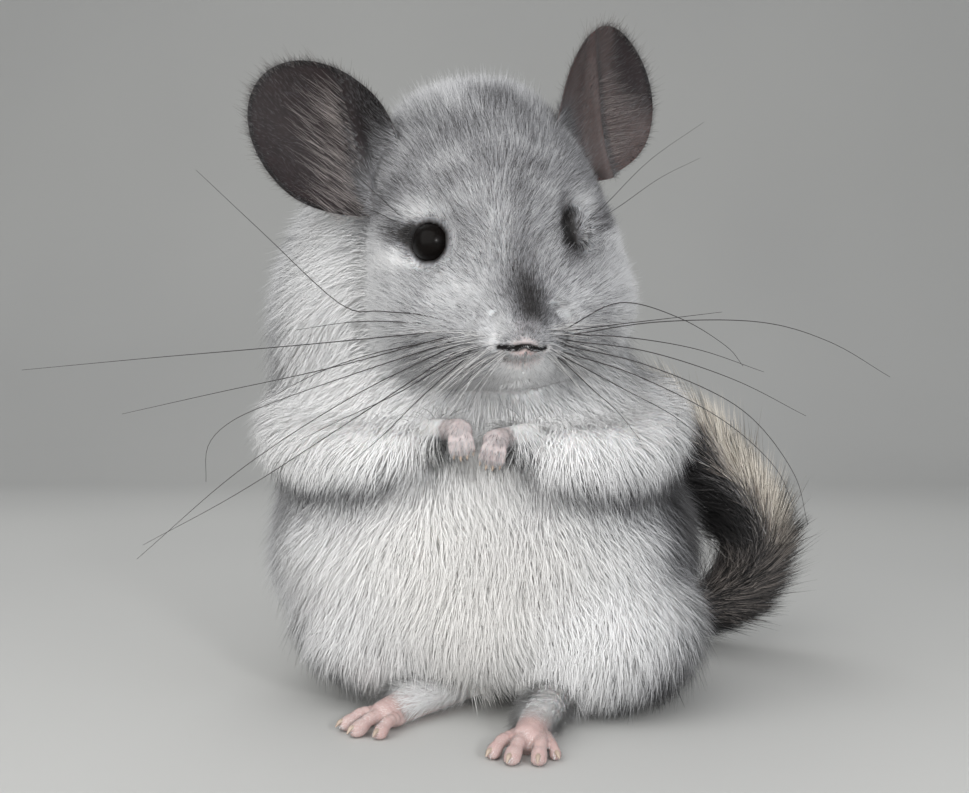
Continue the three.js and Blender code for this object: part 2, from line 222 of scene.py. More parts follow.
@dataclass
class Surface:
    """A closed triangle mesh.

    Attributes:
        points: Its corners, in millimetres, one row each.
        triangles: Three corner numbers for each face, turning left seen from outside.
    """

    points: Array
    triangles: Array

    @classmethod
    def of_mesh(cls, mesh: bpy.types.Mesh) -> "Surface":
        """Reads a Blender mesh."""
        points = np.empty(len(mesh.vertices) * 3, np.float32)
        mesh.vertices.foreach_get("co", points)
        mesh.calc_loop_triangles()
        triangles = np.empty(len(mesh.loop_triangles) * 3, np.int32)
        mesh.loop_triangles.foreach_get("vertices", triangles)
        return cls(points.reshape(-1, 3).astype(float) / MM, triangles.reshape(-1, 3))

    @classmethod
    def of_node(cls, node: bpy.types.Object, swell: float) -> "Surface":
        """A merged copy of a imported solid, pushed out a little so that the gaps beside it close.

        Args:
            node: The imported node's object, which is left as it is.
            swell: How far the copy is pushed out, in millimetres.

        Returns:
            The copy.
        """
        shell = bmesh.new()
        shell.from_mesh(node.data)
        bmesh.ops.remove_doubles(shell, verts=shell.verts, dist=1e-6)
        shell.normal_update()
        for corner in shell.verts:
            corner.co += corner.normal * swell * MM
        mesh = bpy.data.meshes.new("copy")
        shell.to_mesh(mesh)
        shell.free()
        copied = cls.of_mesh(mesh)
        bpy.data.meshes.remove(mesh)
        return copied

    @classmethod
    def joined(cls, parts: Sequence["Surface"]) -> "Surface":
        """Several surfaces as one, with nothing cut away where they cross."""
        offsets = np.cumsum([0] + [len(part.points) for part in parts[:-1]])
        triangles = [part.triangles + offset for part, offset in zip(parts, offsets)]
        return cls(np.concatenate([part.points for part in parts]), np.concatenate(triangles))

    @classmethod
    def ball(cls, at: Sequence[float], radii: Sequence[float], turn: Matrix | None = None) -> "Surface":
        """An ellipsoid of even triangles.

        Args:
            at: Its middle.
            radii: Its half sizes along X, Y and Z.
            turn: A turn about its middle, or None.

        Returns:
            The ellipsoid.
        """
        shell = bmesh.new()
        bmesh.ops.create_icosphere(shell, subdivisions=3, radius=1)
        points = np.array([corner.co[:] for corner in shell.verts]) * np.array(radii)
        triangles = np.array([[corner.index for corner in face.verts] for face in shell.faces])
        shell.free()
        if turn is not None:
            points = points @ np.array(turn.to_3x3()).T
        return cls(points + np.array(at), triangles)

    @classmethod
    def chain(cls, stops: Sequence[Sequence[float]], radii: Sequence[float], count: int) -> "Surface":
        """A string of overlapping balls along a smooth path, for a limb with round joints.

        Args:
            stops: The path.
            radii: The limb's radii, spread evenly along it.
            count: How many balls are strung.

        Returns:
            The balls, joined.
        """
        sizes = np.interp(np.linspace(0, 1, count), np.linspace(0, 1, len(radii)), radii)
        return cls.joined([cls.ball(at, [size] * 3) for at, size in zip(smooth_path(stops, count), sizes)])

    def moved(self, matrix: Matrix) -> "Surface":
        """The surface, turned and shifted by a matrix in millimetres."""
        return Surface(from_frame(self.points, matrix), self.triangles)

    def object(self, name: str) -> bpy.types.Object:
        """The surface as a Blender object at the origin, in metres."""
        mesh = bpy.data.meshes.new(name)
        mesh.from_pydata(self.points * MM, [], self.triangles)
        mesh.update()
        made = bpy.data.objects.new(name, mesh)
        bpy.context.scene.collection.objects.link(made)
        return made

    def evened(self, voxel: float, softening: int) -> "Surface":
        """Rebuilds the surface from small even cells, which melts crossing parts together.

        Args:
            voxel: The size of a cell, in millimetres.
            softening: How many times the result is smoothed.

        Returns:
            The melted surface.
        """
        made = self.object("even")
        remesh = made.modifiers.new("cells", "REMESH")
        remesh.mode = "VOXEL"
        remesh.voxel_size = voxel * MM
        if softening:
            soften = made.modifiers.new("soften", "SMOOTH")
            soften.factor = 0.5
            soften.iterations = softening
        return Surface.of_evaluated(made)

    def combined(self, others: Sequence["Surface"], how: Combine) -> "Surface":
        """Joins other surfaces to this one, or cuts them out of it.

        Args:
            others: The other closed surfaces.
            how: Whether they are joined or cut.

        Returns:
            The closed result.
        """
        made = self.object("base")
        tools = [other.object("tool") for other in others]
        for tool in tools:
            step = made.modifiers.new("combine", "BOOLEAN")
            step.operation = how.value
            step.solver = "MANIFOLD"
            step.object = tool
        result = Surface.of_evaluated(made)
        for tool in tools:
            bpy.data.objects.remove(tool)
        return result

    @classmethod
    def of_evaluated(cls, made: bpy.types.Object) -> "Surface":
        """Reads an object with its modifiers applied, and removes the object."""
        graph = bpy.context.evaluated_depsgraph_get()
        mesh = bpy.data.meshes.new_from_object(made.evaluated_get(graph))
        result = cls.of_mesh(mesh)
        bpy.data.meshes.remove(mesh)
        bpy.data.objects.remove(made)
        return result

    def normals(self) -> Array:
        """The outward way at each point, weighted by the faces round it."""
        a, b, c = (self.points[self.triangles[:, k]] for k in range(3))
        faces = np.cross(b - a, c - a)
        total = np.zeros_like(self.points)
        for k in range(3):
            for axis in range(3):
                total[:, axis] += np.bincount(self.triangles[:, k], faces[:, axis], len(self.points))
        return unit(total)

    def spread(self, values: Array, times: int) -> Array:
        """Evens values out over the surface.

        Args:
            values: One row, or one number, for each point.
            times: How many times each point takes the mean of itself and its neighbours.

        Returns:
            The evened values.
        """
        pairs = np.concatenate([self.triangles[:, [0, 1]], self.triangles[:, [1, 2]], self.triangles[:, [2, 0]]])
        count = len(self.points)
        weight = 1 + np.bincount(pairs[:, 0], minlength=count)
        rows = values.reshape(count, -1).astype(float)
        for _ in range(times):
            near = [row + np.bincount(pairs[:, 0], row[pairs[:, 1]], count) for row in rows.T]
            rows = np.stack(near, axis=1) / weight[:, None]
        return rows.reshape(values.shape)


# ---------------------------------------------------------------- anatomy


def turned(axis: str, degrees: float) -> Matrix:
    """A turn about one axis."""
    return Matrix.Rotation(math.radians(degrees), 4, axis)


@dataclass(frozen=True)
class HeadPose:
    """Where the head is: its own frame has the point midway between the eyes as its origin."""

    at: tuple[float, float, float] = (5.0, -50.0, 154.0)
    yaw: float = 10.0
    roll: float = 6.0

    def matrix(self) -> Matrix:
        """From the head's frame to the row's."""
        return Matrix.Translation(self.at) @ turned("Z", self.yaw) @ turned("Y", -self.roll)


@dataclass(frozen=True)
class EyeShape:
    """An eyeball and its lids, in the head's frame; each way that an eye looks is given for its own side.

    Attributes:
        at: The left eyeball's middle; the right one mirrors it.
        radius: The eyeball's radius.
        looks_left: The way that the left eye looks.
        looks_right: The way that the right eye looks, mirrored.
        lid: The radius of the ball that the lids are cut from.
        socket: How much larger than the eyeball the flesh round it is.
        opening: The half sizes of the opening between the lids: along the look, across it and up.
        opening_out: How far out the opening's middle is.
        bare: Between these distances from the eyeball's middle the coat thickens from none to full.
        clear: No hair comes nearer to the eyeball's middle than this.
    """

    at: tuple[float, float, float] = (22.4, -4.6, 0.0)
    radius: float = 6.25
    looks_left: tuple[float, float, float] = (0.86, 0.5, 0.05)
    looks_right: tuple[float, float, float] = (0.62, -0.78, 0.12)
    lid: float = 6.85
    socket: float = 1.8
    opening: tuple[float, float, float] = (8.0, 12.2, 10.4)
    opening_out: float = 8.0
    bare: tuple[float, float] = (6.45, 6.75)
    clear: float = 6.5

    def centre(self, side: int, head: Matrix) -> Array:
        """The eyeball's middle, in the row's frame."""
        return np.array(head @ Vector((self.at[0] * side, self.at[1], self.at[2])))

    def facing(self, side: int, head: Matrix) -> Array:
        """The way that the eye looks, in the row's frame."""
        looks = self.looks_left if side > 0 else self.looks_right
        way = head.to_3x3() @ Vector((looks[0] * side, looks[1], looks[2]))
        return np.array(way.normalized())


@dataclass(frozen=True)
class EarShape:
    """A round, cupped ear with a fold beside the crown, in the head's frame.

    Attributes:
        at: Its root.
        turn: How far it is turned about its own length, in degrees.
        lean: How far it leans outwards, in degrees.
        back: How far it leans back, in degrees.
        side: 1 for the left ear and -1 for the right.
        comb: How steeply its inner hairs rise, in degrees.
        fold_start: Where the fold starts across the ear, as a share of its half width.
        fold_slope: How far the fold shifts from root to tip.
        flush: How pink the root of its hollow is.
        length: Its length from root to tip.
        half_width: Half its greatest width.
        narrowing: The root's share of the greatest width.
        thickness: The sheet's thickness.
        cup: How far its edges bend forward.
        root_cup: How much more they bend at the root.
        fold: The fold's height.
        fold_width: The fold's width, as a share of the ear's half width.
        canal: The canal's place across and up the ear.
        canal_size: How wide and how tall the canal's dark patch is.
        rings: How many rings the sheet has.
        spokes: How many points each ring has.
    """

    at: tuple[float, float, float]
    turn: float
    lean: float
    back: float
    side: int
    comb: float
    fold_start: float
    fold_slope: float
    flush: float
    length: float = 58.9
    half_width: float = 20.9
    narrowing: float = 0.8
    thickness: float = 1.5
    cup: float = 8.0
    root_cup: float = 6.0
    fold: float = 4.5
    fold_width: float = 0.15
    canal: tuple[float, float] = (9.0, 7.5)
    canal_size: tuple[float, float] = (3.6, 3.2)
    rings: int = 46
    spokes: int = 72

    def surface(self, head: Matrix) -> Surface:
        """The ear as a thin closed sheet, thicker at its root.

        Args:
            head: The head's place.

        Returns:
            The sheet, in the row's frame.
        """
        raw = sphere_points(self.rings, self.spokes)
        height = (raw[:, 2] + 1) / 2 * self.length
        thick = self.thickness / 2 * (1 + 1.6 * ramp(height / self.length, 0.35, 0.0))
        middle = self.depth(raw[:, 0], height)
        points = np.stack([raw[:, 0] * self.wide(height), middle + raw[:, 1] * thick, height], axis=1)
        return Surface(points, sphere_triangles(self.rings, self.spokes)).moved(self.place(head))

    def wide(self, height: Array) -> Array:
        """Half the ear's width at a height above its root."""
        return self.half_width * (self.narrowing + (1 - self.narrowing) * ramp(height / self.length, -0.1, 0.5))

    def depth(self, across: Array, height: Array) -> Array:
        """How far the sheet's middle lies behind the ear's plane: cupped forward, with a fold beside the crown."""
        share = height / self.length
        cup = self.cup + self.root_cup * (1 - share) ** 2
        ridge = np.exp(-(((across * self.side + self.fold_line(height)) / self.fold_width) ** 2))
        return -cup * across**2 - self.fold * ridge * ramp(1 - share, 0.1, 0.5)

    def fold_line(self, height: Array) -> Array:
        """How far towards the crown the fold lies at a height, as a share of the ear's half width."""
        return self.fold_start + self.fold_slope * height / self.length

    def place(self, head: Matrix) -> Matrix:
        """From the ear's frame to the row's."""
        turn = turned("Y", self.lean) @ turned("Z", self.turn) @ turned("X", -self.back)
        return head @ Matrix.Translation(self.at) @ turn

    def root(self, head: Matrix) -> Array:
        """Where the ear leaves the head, in the row's frame."""
        return np.array(head @ Vector(self.at))


def sphere_points(rings: int, spokes: int) -> Array:
    """The points of a ball of radius one, laid in rings between its poles.

    Args:
        rings: How many bands lie between the poles.
        spokes: How many points each ring has.

    Returns:
        The points, the top pole first and the bottom one last.
    """
    down = np.linspace(0, math.pi, rings + 1)[1:-1]
    turn = np.linspace(0, math.tau, spokes, endpoint=False)
    polar, round_ = (grid.ravel() for grid in np.meshgrid(down, turn, indexing="ij"))
    ball = np.stack([np.sin(polar) * np.cos(round_), np.sin(polar) * np.sin(round_), np.cos(polar)], axis=1)
    return np.vstack([[[0, 0, 1.0]], ball, [[0, 0, -1.0]]])


def sphere_triangles(rings: int, spokes: int) -> Array:
    """The faces of a ball of rings, with its first point at the top pole and its last at the bottom.

    Args:
        rings: How many bands lie between the poles.
        spokes: How many points each ring has.

    Returns:
        Three point numbers for each face.
    """
    faces = []
    last = 1 + (rings - 1) * spokes
    for spoke in range(spokes):
        beside = (spoke + 1) % spokes
        faces.append([0, 1 + spoke, 1 + beside])
        bottom = 1 + (rings - 2) * spokes
        faces.append([bottom + beside, bottom + spoke, last])
        for ring in range(rings - 2):
            upper = 1 + ring * spokes
            lower = upper + spokes
            faces.append([upper + spoke, lower + spoke, lower + beside])
            faces.append([upper + spoke, lower + beside, upper + beside])
    return np.array(faces)


@dataclass(frozen=True)
class Toe:
    """One toe: where it starts across the foot, how long and thick it is, and how it fans."""

    across: float
    length: float
    radius: float
    fan: float


@dataclass(frozen=True)
class FootShape:
    """A hind foot on the floor, its toes along its heading.

    Attributes:
        at: The middle of its toes' roots.
        heading: How far it is turned outwards, in degrees.
        side: 1 for the left foot and -1 for the right.
        toes: The toes, from the inner one outwards.
        claw: How far a claw reaches past its toe.
    """

    at: tuple[float, float, float]
    heading: float
    side: int
    toes: tuple[Toe, ...] = (
        Toe(-5.4, 10.0, 2.3, -16.0),
        Toe(-0.6, 13.5, 2.6, -3.0),
        Toe(4.4, 11.5, 2.5, 10.0),
        Toe(7.0, 5.0, 1.8, 34.0),
    )
    claw: float = 2.6

    def matrix(self) -> Matrix:
        """From the foot's frame to the row's."""
        return Matrix.Translation(self.at) @ turned("Z", -self.heading)

    def reached(self, toe: Toe, length: float, height: float) -> tuple[float, float, float]:
        """A place along a toe, in the foot's frame."""
        fan = math.radians(toe.fan)
        return self.side * (toe.across + math.sin(fan) * length), -math.cos(fan) * length, height

    def surface(self) -> Surface:
        """The foot: a flat sole, humped knuckles, and a round pad at each toe's end."""
        parts = [Surface.chain([(0, 42, 9), (0, 15, 6.4), (0, 0, 4.2)], (6.4, 5.8, 4.6), 16)]
        parts.append(Surface.ball((self.side * 0.6, 1.5, 3.1), (7.4, 6.2, 3.0)))
        for toe in self.toes:
            stops = [
                (self.side * toe.across * 0.7, 4, 4.0),
                self.reached(toe, toe.length * 0.42, toe.radius * 1.75),
                self.reached(toe, toe.length * 0.72, toe.radius * 1.15),
                self.reached(toe, toe.length * 0.92, toe.radius * 0.95),
            ]
            sizes = (toe.radius * 0.95, toe.radius * 0.9, toe.radius * 0.78, toe.radius * 0.98, toe.radius * 0.8)
            parts.append(Surface.chain(stops, sizes, 12))
            pad = self.reached(toe, toe.length * 0.86, toe.radius * 0.72)
            parts.append(Surface.ball(pad, (toe.radius * 0.95, toe.radius * 1.1, toe.radius * 0.7)))
        return Surface.joined(parts).evened(0.42, 3).moved(self.matrix())

    def claws(self) -> list[Array]:
        """Each claw's path from its root to its tip, in the row's frame."""
        place = self.matrix()
        paths = []
        for toe in self.toes:
            stops = [
                self.reached(toe, toe.length - 0.6, toe.radius * 1.25),
                self.reached(toe, toe.length + 1.1, toe.radius * 1.3),
                self.reached(toe, toe.length + self.claw, toe.radius * 0.75),
            ]
            paths.append(np.array([place @ Vector(stop) for stop in stops]))
        return paths


@dataclass(frozen=True)
class HandShape:
    """A front paw that hangs from the wrist, its fingers pointing down.

    Attributes:
        at: The palm's middle.
        lean: How far it leans to its side, in degrees.
        wrist: Where the wrist meets the arm.
        spacing: The distance between fingers.
        length: The distance from the palm's middle to the fingertips.
    """

    at: tuple[float, float, float]
    lean: float
    wrist: tuple[float, float, float]
    spacing: float = 2.1
    length: float = 7.8

    def matrix(self) -> Matrix:
        """From the paw's frame to the row's."""
        return Matrix.Translation(self.at) @ turned("Y", self.lean)

    def fingers(self) -> list[list[tuple[float, float, float]]]:
        """Each finger's path from the palm to its tip, in the paw's frame."""
        paths = []
        for number in range(4):
            across = (number - 1.5) * self.spacing
            end = -self.length + abs(number - 1.4) * 0.9
            stops = [(across * 0.6, -0.4, 0.5), (across * 0.95, -2.6, -2.8), (across, -2.6, -5.0)]
            paths.append([*stops, (across * 0.95, -1.2, end)])
        return paths

    def surface(self) -> Surface:
        """The paw: a palm, four curled fingers and the wrist that leads into the arm's fur."""
        inward = tuple(self.matrix().inverted() @ Vector(self.wrist))
        parts = [Surface.ball((0, 0, 0), (4.1, 2.8, 3.6)), Surface.chain([(0, 0, 1), inward], (3.0, 4.0), 8)]
        for stops in self.fingers():
            parts.append(Surface.chain(stops, (1.1, 1.08, 0.84, 1.0, 0.8), 12))
        return Surface.joined(parts).evened(0.34, 2).moved(self.matrix())

    def claws(self) -> list[Array]:
        """Each claw's path from its root to its tip, in the row's frame."""
        place = self.matrix()
        paths = []
        for stops in self.fingers():
            tip = Vector(stops[-1])
            path = [tip + Vector((0, -0.5, 0.4)), tip + Vector((0, -0.7, -0.8)), tip + Vector((0, 0.1, -1.6))]
            paths.append(np.array([place @ stop for stop in path]))
        return paths


@dataclass(frozen=True)
class TailShape:
    """The tail: a path that lies along the floor and curls up behind the left side.

    Attributes:
        path: The stops of its middle line, from root to tip.
        reach: How far the hair stands from that line, spread evenly along it.
        core: The flesh's radius, spread evenly along it.
        curl: The middle of the curl.
        samples: How many points are read off the line.
    """

    path: tuple[tuple[float, float, float], ...] = (
        (28, 46, 15),
        (36, 58, 12),
        (66, 66, 9.4),
        (94, 62, 15),
        (110, 57, 30),
        (112, 53, 48),
        (103, 50, 65),
        (90, 50, 81),
        (76, 52, 95),
        (67, 55, 103),
    )
    reach: tuple[float, ...] = (9, 9, 10.5, 11.5, 14, 18, 19, 18, 13, 5)
    core: tuple[float, ...] = (7.5, 6.5, 5.6, 5.0, 4.6, 4.2, 3.8, 3.4, 3.0, 2.2)
    curl: tuple[float, float, float] = (80.0, 52.0, 48.0)
    samples: int = 120

    def surface(self) -> Surface:
        """The tail's flesh, without its hair."""
        return Surface.chain(self.path, self.core, 70).evened(1.15, 4)

    def along(self, points: Array) -> tuple[Array, Array, Array]:
        """Reads where points lie on the tail.

        Args:
            points: Places near the tail, in millimetres.

        Returns:
            For each place its share of the tail's length, the way to the tip, and how far it lies on the outside
            of the curl, from -1 to 1.
        """
        line = smooth_path(self.path, self.samples)
        ways = unit(np.gradient(line, axis=0))
        nearest = np.argmin(np.sum(line**2, axis=1) - 2 * points @ line.T, axis=1)
        outward = unit(line[nearest] - np.array(self.curl))
        spoke = unit(points - line[nearest])
        return nearest / (self.samples - 1), ways[nearest], np.sum(outward * spoke, axis=1)

    def inside(self, place: Array, outside: Array) -> Array:
        """How far points lie inside the curl, given their share of the tail's length and their place round it."""
        return ramp(outside, 0.25, -0.35) * ramp(place, 0.2, 0.4) * ramp(place, 0.95, 0.8)


@dataclass(frozen=True)
class NoseShape:
    """The nose pad, its nostrils and the mouth, in the head's frame.

    Attributes:
        pad: The pad's middle.
        pad_radii: Its half sizes.
        slit: One nostril's stops from the middle outwards, as X from the pad's middle and Z.
        slit_tilt: How far the slit rises for each millimetre across.
        slit_radii: The slit's radii, spread evenly along it.
        lip_groove: The groove's stops, as X from the pad's middle and Z.
        mouth: The mouth's stops, in the same way.
        mouth_radius: The mouth groove's radius.
    """

    pad: tuple[float, float, float] = (-1.7, -26.2, -35.0)
    pad_radii: tuple[float, float, float] = (7.0, 4.2, 4.6)
    slit: tuple[tuple[float, float], ...] = ((0, -35.3), (1.3, -35.6), (2.8, -35.9), (4.8, -35.9), (6.6, -35.4))
    slit_tilt: float = -0.12
    slit_radii: tuple[float, ...] = (0.4, 0.6, 0.8, 0.7, 0.35)
    lip_groove: tuple[tuple[float, float], ...] = ((0, -37.2), (0, -39.4), (0, -42.0))
    mouth: tuple[tuple[float, float], ...] = ((-5.6, -45.4), (0, -44.2), (5.6, -45.4))
    mouth_radius: float = 0.25

    def path(self, side: int) -> list[tuple[float, float]]:
        """One nostril's path, from the middle outwards, as X and Z."""
        return [(self.pad[0] + x * side, z + x * side * self.slit_tilt) for x, z in self.slit]

    def apart(self, local: Array) -> Array:
        """How far each place is from the nostrils, seen from in front."""
        nearest = np.full(len(local), 99.0)
        for side in (-1, 1):
            for stop in smooth_path(self.path(side), 14):
                gap = np.hypot(local[:, 0] - stop[0], local[:, 2] - stop[1]) + ramp(local[:, 1], -20, -10) * 9
                nearest = np.minimum(nearest, gap)
        return nearest


# ---------------------------------------------------------------- the skin


class Region(Enum):
    """The parts of the body whose coats differ."""

    HEAD = 0
    NECK = 1
    TRUNK = 2
    ARM = 3
    THIGH = 4
    HAND = 5
    FOOT = 6
    EAR = 7
    TAIL = 8


def blended(share: Array, values: Sequence[Any]) -> Array:
    """Mixes one value or row for each region, in the regions' order, by how far points belong to each."""
    return sum(share[:, k] * value for k, value in enumerate(values))


NODES_OF_REGION = {
    Region.HEAD: ("head", "muzzle", "jaw", "nose", "eye_left", "eye_right"),
    Region.NECK: ("neck",),
    Region.TRUNK: ("trunk",),
    Region.ARM: ("arm_left", "arm_right"),
    Region.THIGH: ("thigh_left", "thigh_right"),
    Region.HAND: ("hand_left", "hand_right"),
    Region.FOOT: ("foot_left", "foot_right"),
    Region.EAR: ("ear_left", "ear_right"),
    Region.TAIL: ("tail_base", "tail_middle", "tail_tip"),
}
REGION_OF_NODE = {name: region for region, names in NODES_OF_REGION.items() for name in names}
TORSO = ("trunk", "neck", "arm_left", "arm_right", "thigh_left", "thigh_right", "head", "muzzle", "jaw")
FACE = ("head", "muzzle", "jaw")


def nearest_nodes(nodes: dict[str, bpy.types.Object], names: Sequence[str], points: Array) -> Array:
    """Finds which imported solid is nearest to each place.

    Args:
        nodes: The frame's nodes by name.
        names: The nodes that are asked.
        points: The places, in millimetres.

    Returns:
        The number in names of each place's node.
    """
    shells = [Surface.of_mesh(nodes[name].data) for name in names]
    owner = np.concatenate([np.full(len(shell.triangles), k) for k, shell in enumerate(shells)])
    whole = Surface.joined(shells)
    tree = BVHTree.FromPolygons(whole.points.tolist(), whole.triangles.tolist())
    return owner[[tree.find_nearest(point)[2] for point in points.tolist()]]


def distances(surface: Surface, points: Array) -> Array:
    """How far each place is from a surface, in millimetres."""
    tree = BVHTree.FromPolygons(surface.points.tolist(), surface.triangles.tolist())
    return np.array([tree.find_nearest(point)[3] for point in points.tolist()])


@dataclass
class Body:
    """The animal's one skin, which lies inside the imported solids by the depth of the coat.

    Attributes:
        head: The head's place.
        eye: The eyes' shape.
        nose: The nose and mouth.
        ears: Both ears.
        feet: Both hind feet.
        hands: Both front paws.
        tail: The tail.
        depths: How deep the skin lies under each torso node's surface, in millimetres.
    """

    head: Matrix = field(default_factory=lambda: HeadPose().matrix())
    eye: EyeShape = EyeShape()
    nose: NoseShape = NoseShape()
    ears: tuple[EarShape, ...] = (
        EarShape(
            at=(25.7, 20.6, 21.2),
            turn=27.5,
            lean=36.0,
            back=6.7,
            side=1,
            comb=48.0,
            fold_start=-1.05,
            fold_slope=2.2,
            flush=0.0,
        ),
        EarShape(
            at=(-29.4, 21.8, 17.3),
            turn=-13.4,
            lean=-41.9,
            back=-3.9,
            side=-1,
            comb=84.0,
            fold_start=-0.45,
            fold_slope=2.0,
            flush=0.5,
        ),
    )
    feet: tuple[FootShape, ...] = (
        FootShape((12.5, -79.0, 0.0), 18.0, 1),
        FootShape((-31.5, -55.0, 0.0), 44.0, -1),
    )
    hands: tuple[HandShape, ...] = (
        HandShape((3.4, -69.5, 90.4), 14.0, (14.0, -57.0, 92.0)),
        HandShape((-7.6, -68.8, 93.4), -10.0, (-17.0, -56.0, 93.0)),
    )
    tail: TailShape = TailShape()
    depths: dict[str, float] = field(
        default_factory=lambda: {
            "trunk": 7.6,
            "neck": 7.2,
            "arm_left": 6.0,
            "arm_right": 6.0,
            "thigh_left": 7.0,
            "thigh_right": 7.0,
            "head": 7.0,
            "muzzle": 6.0,
            "jaw": 6.0,
        }
    )

    def from_eye(self, points: Array, side: int) -> Array:
        """How far each place is from the middle of one eye."""
        return np.linalg.norm(points - self.eye.centre(side, self.head), axis=-1)

    def torso(self, nodes: dict[str, bpy.types.Object]) -> tuple[Surface, Surface]:
        """Melts the torso's solids into one surface, and sinks the skin under it.

        Args:
            nodes: The frame's nodes by name.

        Returns:
            The surface at the coat's tips, and the skin.
        """
        outer = Surface.joined([Surface.of_node(nodes[name], 0.5) for name in TORSO]).evened(2.3, 12)
        owner = nearest_nodes(nodes, TORSO, outer.points)
        depth = outer.spread(np.array([self.depths[name] for name in TORSO])[owner], 14)
        ways = unit(outer.spread(outer.normals(), 6))
        inner = Surface(outer.spread(outer.points - ways * depth[:, None], 3), outer.triangles)
        return outer, inner.evened(2.3, 4)

    def face(self, nodes: dict[str, bpy.types.Object]) -> Surface:
        """The head's skin, with eyelids, nose pad, nostrils, a grooved lip and a mouth."""
        pads = [Surface.ball((9.2 * side - 1, -17.6, -32), (6.4, 6.2, 7.2)).moved(self.head) for side in (-1, 1)]
        solids = [Surface.of_node(nodes[name], 0.35) for name in FACE]
        pads.append(Surface.ball(self.nose.pad, self.nose.pad_radii).moved(self.head))
        around = [self.eye.radius + self.eye.socket] * 3
        pads += [Surface.ball(self.eye.centre(side, self.head), around) for side in (-1, 1)]
        outer = Surface.joined([*solids, *pads]).evened(0.95, 8)
        local = to_frame(outer.points, self.head)
        from_nose = np.linalg.norm(local - np.array(self.nose.pad), axis=1)
        depth = 0.9 + 2.3 * ramp(from_nose, 6, 38)
        ways = unit(outer.spread(outer.normals(), 5))
        skin = Surface(outer.points - ways * depth[:, None], outer.triangles).evened(0.95, 2)
        lids = [self.lids(side) for side in (-1, 1)]
        skin = skin.combined(lids, Combine.JOIN)
        cuts = [Surface.ball(self.eye.centre(side, self.head), [self.eye.radius + 0.12] * 3) for side in (-1, 1)]
        middle = self.nose.pad[0]
        groove = [(middle + x, z) for x, z in self.nose.lip_groove]
        mouth = [(middle + x, z) for x, z in self.nose.mouth]
        for stops, radii, voxel in (
            (self.nose.path(-1), self.nose.slit_radii, 0.3),
            (self.nose.path(1), self.nose.slit_radii, 0.3),
            (groove, (0.5, 0.45, 0.4), 0.25),
            (mouth, (self.nose.mouth_radius,) * 2, 0.25),
        ):
            cuts.append(Surface.chain(self.laid(skin, stops), radii, 30).evened(voxel, 1).moved(self.head))
        return skin.combined(cuts, Combine.CUT)

    def laid(self, skin: Surface, stops: Sequence[tuple[float, float]]) -> list[tuple[float, float, float]]:
        """Drops a path onto the face from in front.

        Args:
            skin: The face's skin.
            stops: The path's X and Z in the head's frame.

        Returns:
            The path on the skin, in the head's frame.
        """
        tree = BVHTree.FromPolygons(skin.points.tolist(), skin.triangles.tolist())
        back, placed = self.head.inverted(), []
        for x, z in stops:
            start = self.head @ Vector((x, -70.0, z))
            place = tree.ray_cast(start, self.head.to_3x3() @ Vector((0, 1, 0)))[0]
            placed.append(tuple(back @ place))
        return placed

    def lids(self, side: int) -> Surface:
        """Both lids of one eye: a ball a little larger than the eyeball, with an almond opening."""
        centre = self.eye.centre(side, self.head)
        way = Vector(self.eye.facing(side, self.head))
        ball = Surface.ball(centre, [self.eye.lid] * 3)
        turn = way.to_track_quat("Z", "Y").to_matrix().to_4x4()
        middle = centre + np.array(way) * self.eye.opening_out
        hole = Surface.ball(middle, (self.eye.opening[1], self.eye.opening[2], self.eye.opening[0]), turn)
        return ball.combined([hole], Combine.CUT)

    def build(self, nodes: dict[str, bpy.types.Object]) -> tuple[Surface, Surface]:
        """Makes the whole skin.

        Args:
            nodes: The frame's nodes by name.

        Returns:
            The surface at the torso coat's tips, and the closed skin.
        """
        outer, torso = self.torso(nodes)
        parts = [self.face(nodes), self.tail.surface()]
        parts += [foot.surface() for foot in self.feet] + [hand.surface() for hand in self.hands]
        parts += [ear.surface(self.head) for ear in self.ears]
        skin = torso.combined(parts, Combine.JOIN)
        return outer, skin


# ---------------------------------------------------------------- markings and the lie of the coat


@dataclass(frozen=True)
class Mark:
    """A soft patch on the face, seen from in front, in the head's frame.

    Attributes:
        across: Its middle's X.
        up: Its middle's Z.
        wide: Its half width.
        tall: Its half height.
        shade: How much darker it is, or lighter where negative.
        tilt: How far it is turned, in degrees.
    """

    across: float
    up: float
    wide: float
    tall: float
    shade: float
    tilt: float = 0.0

    def on(self, local: Array) -> Array:
        """The patch's share of darkness at places in the head's frame."""
        turn = math.radians(self.tilt)
        x, z = local[:, 0] - self.across, local[:, 2] - self.up
        along = (x * math.cos(turn) + z * math.sin(turn)) / self.wide
        beside = (z * math.cos(turn) - x * math.sin(turn)) / self.tall
        front = ramp(local[:, 1], 24, 4)
        return self.shade * np.exp(-(along**2) - beside**2) * front


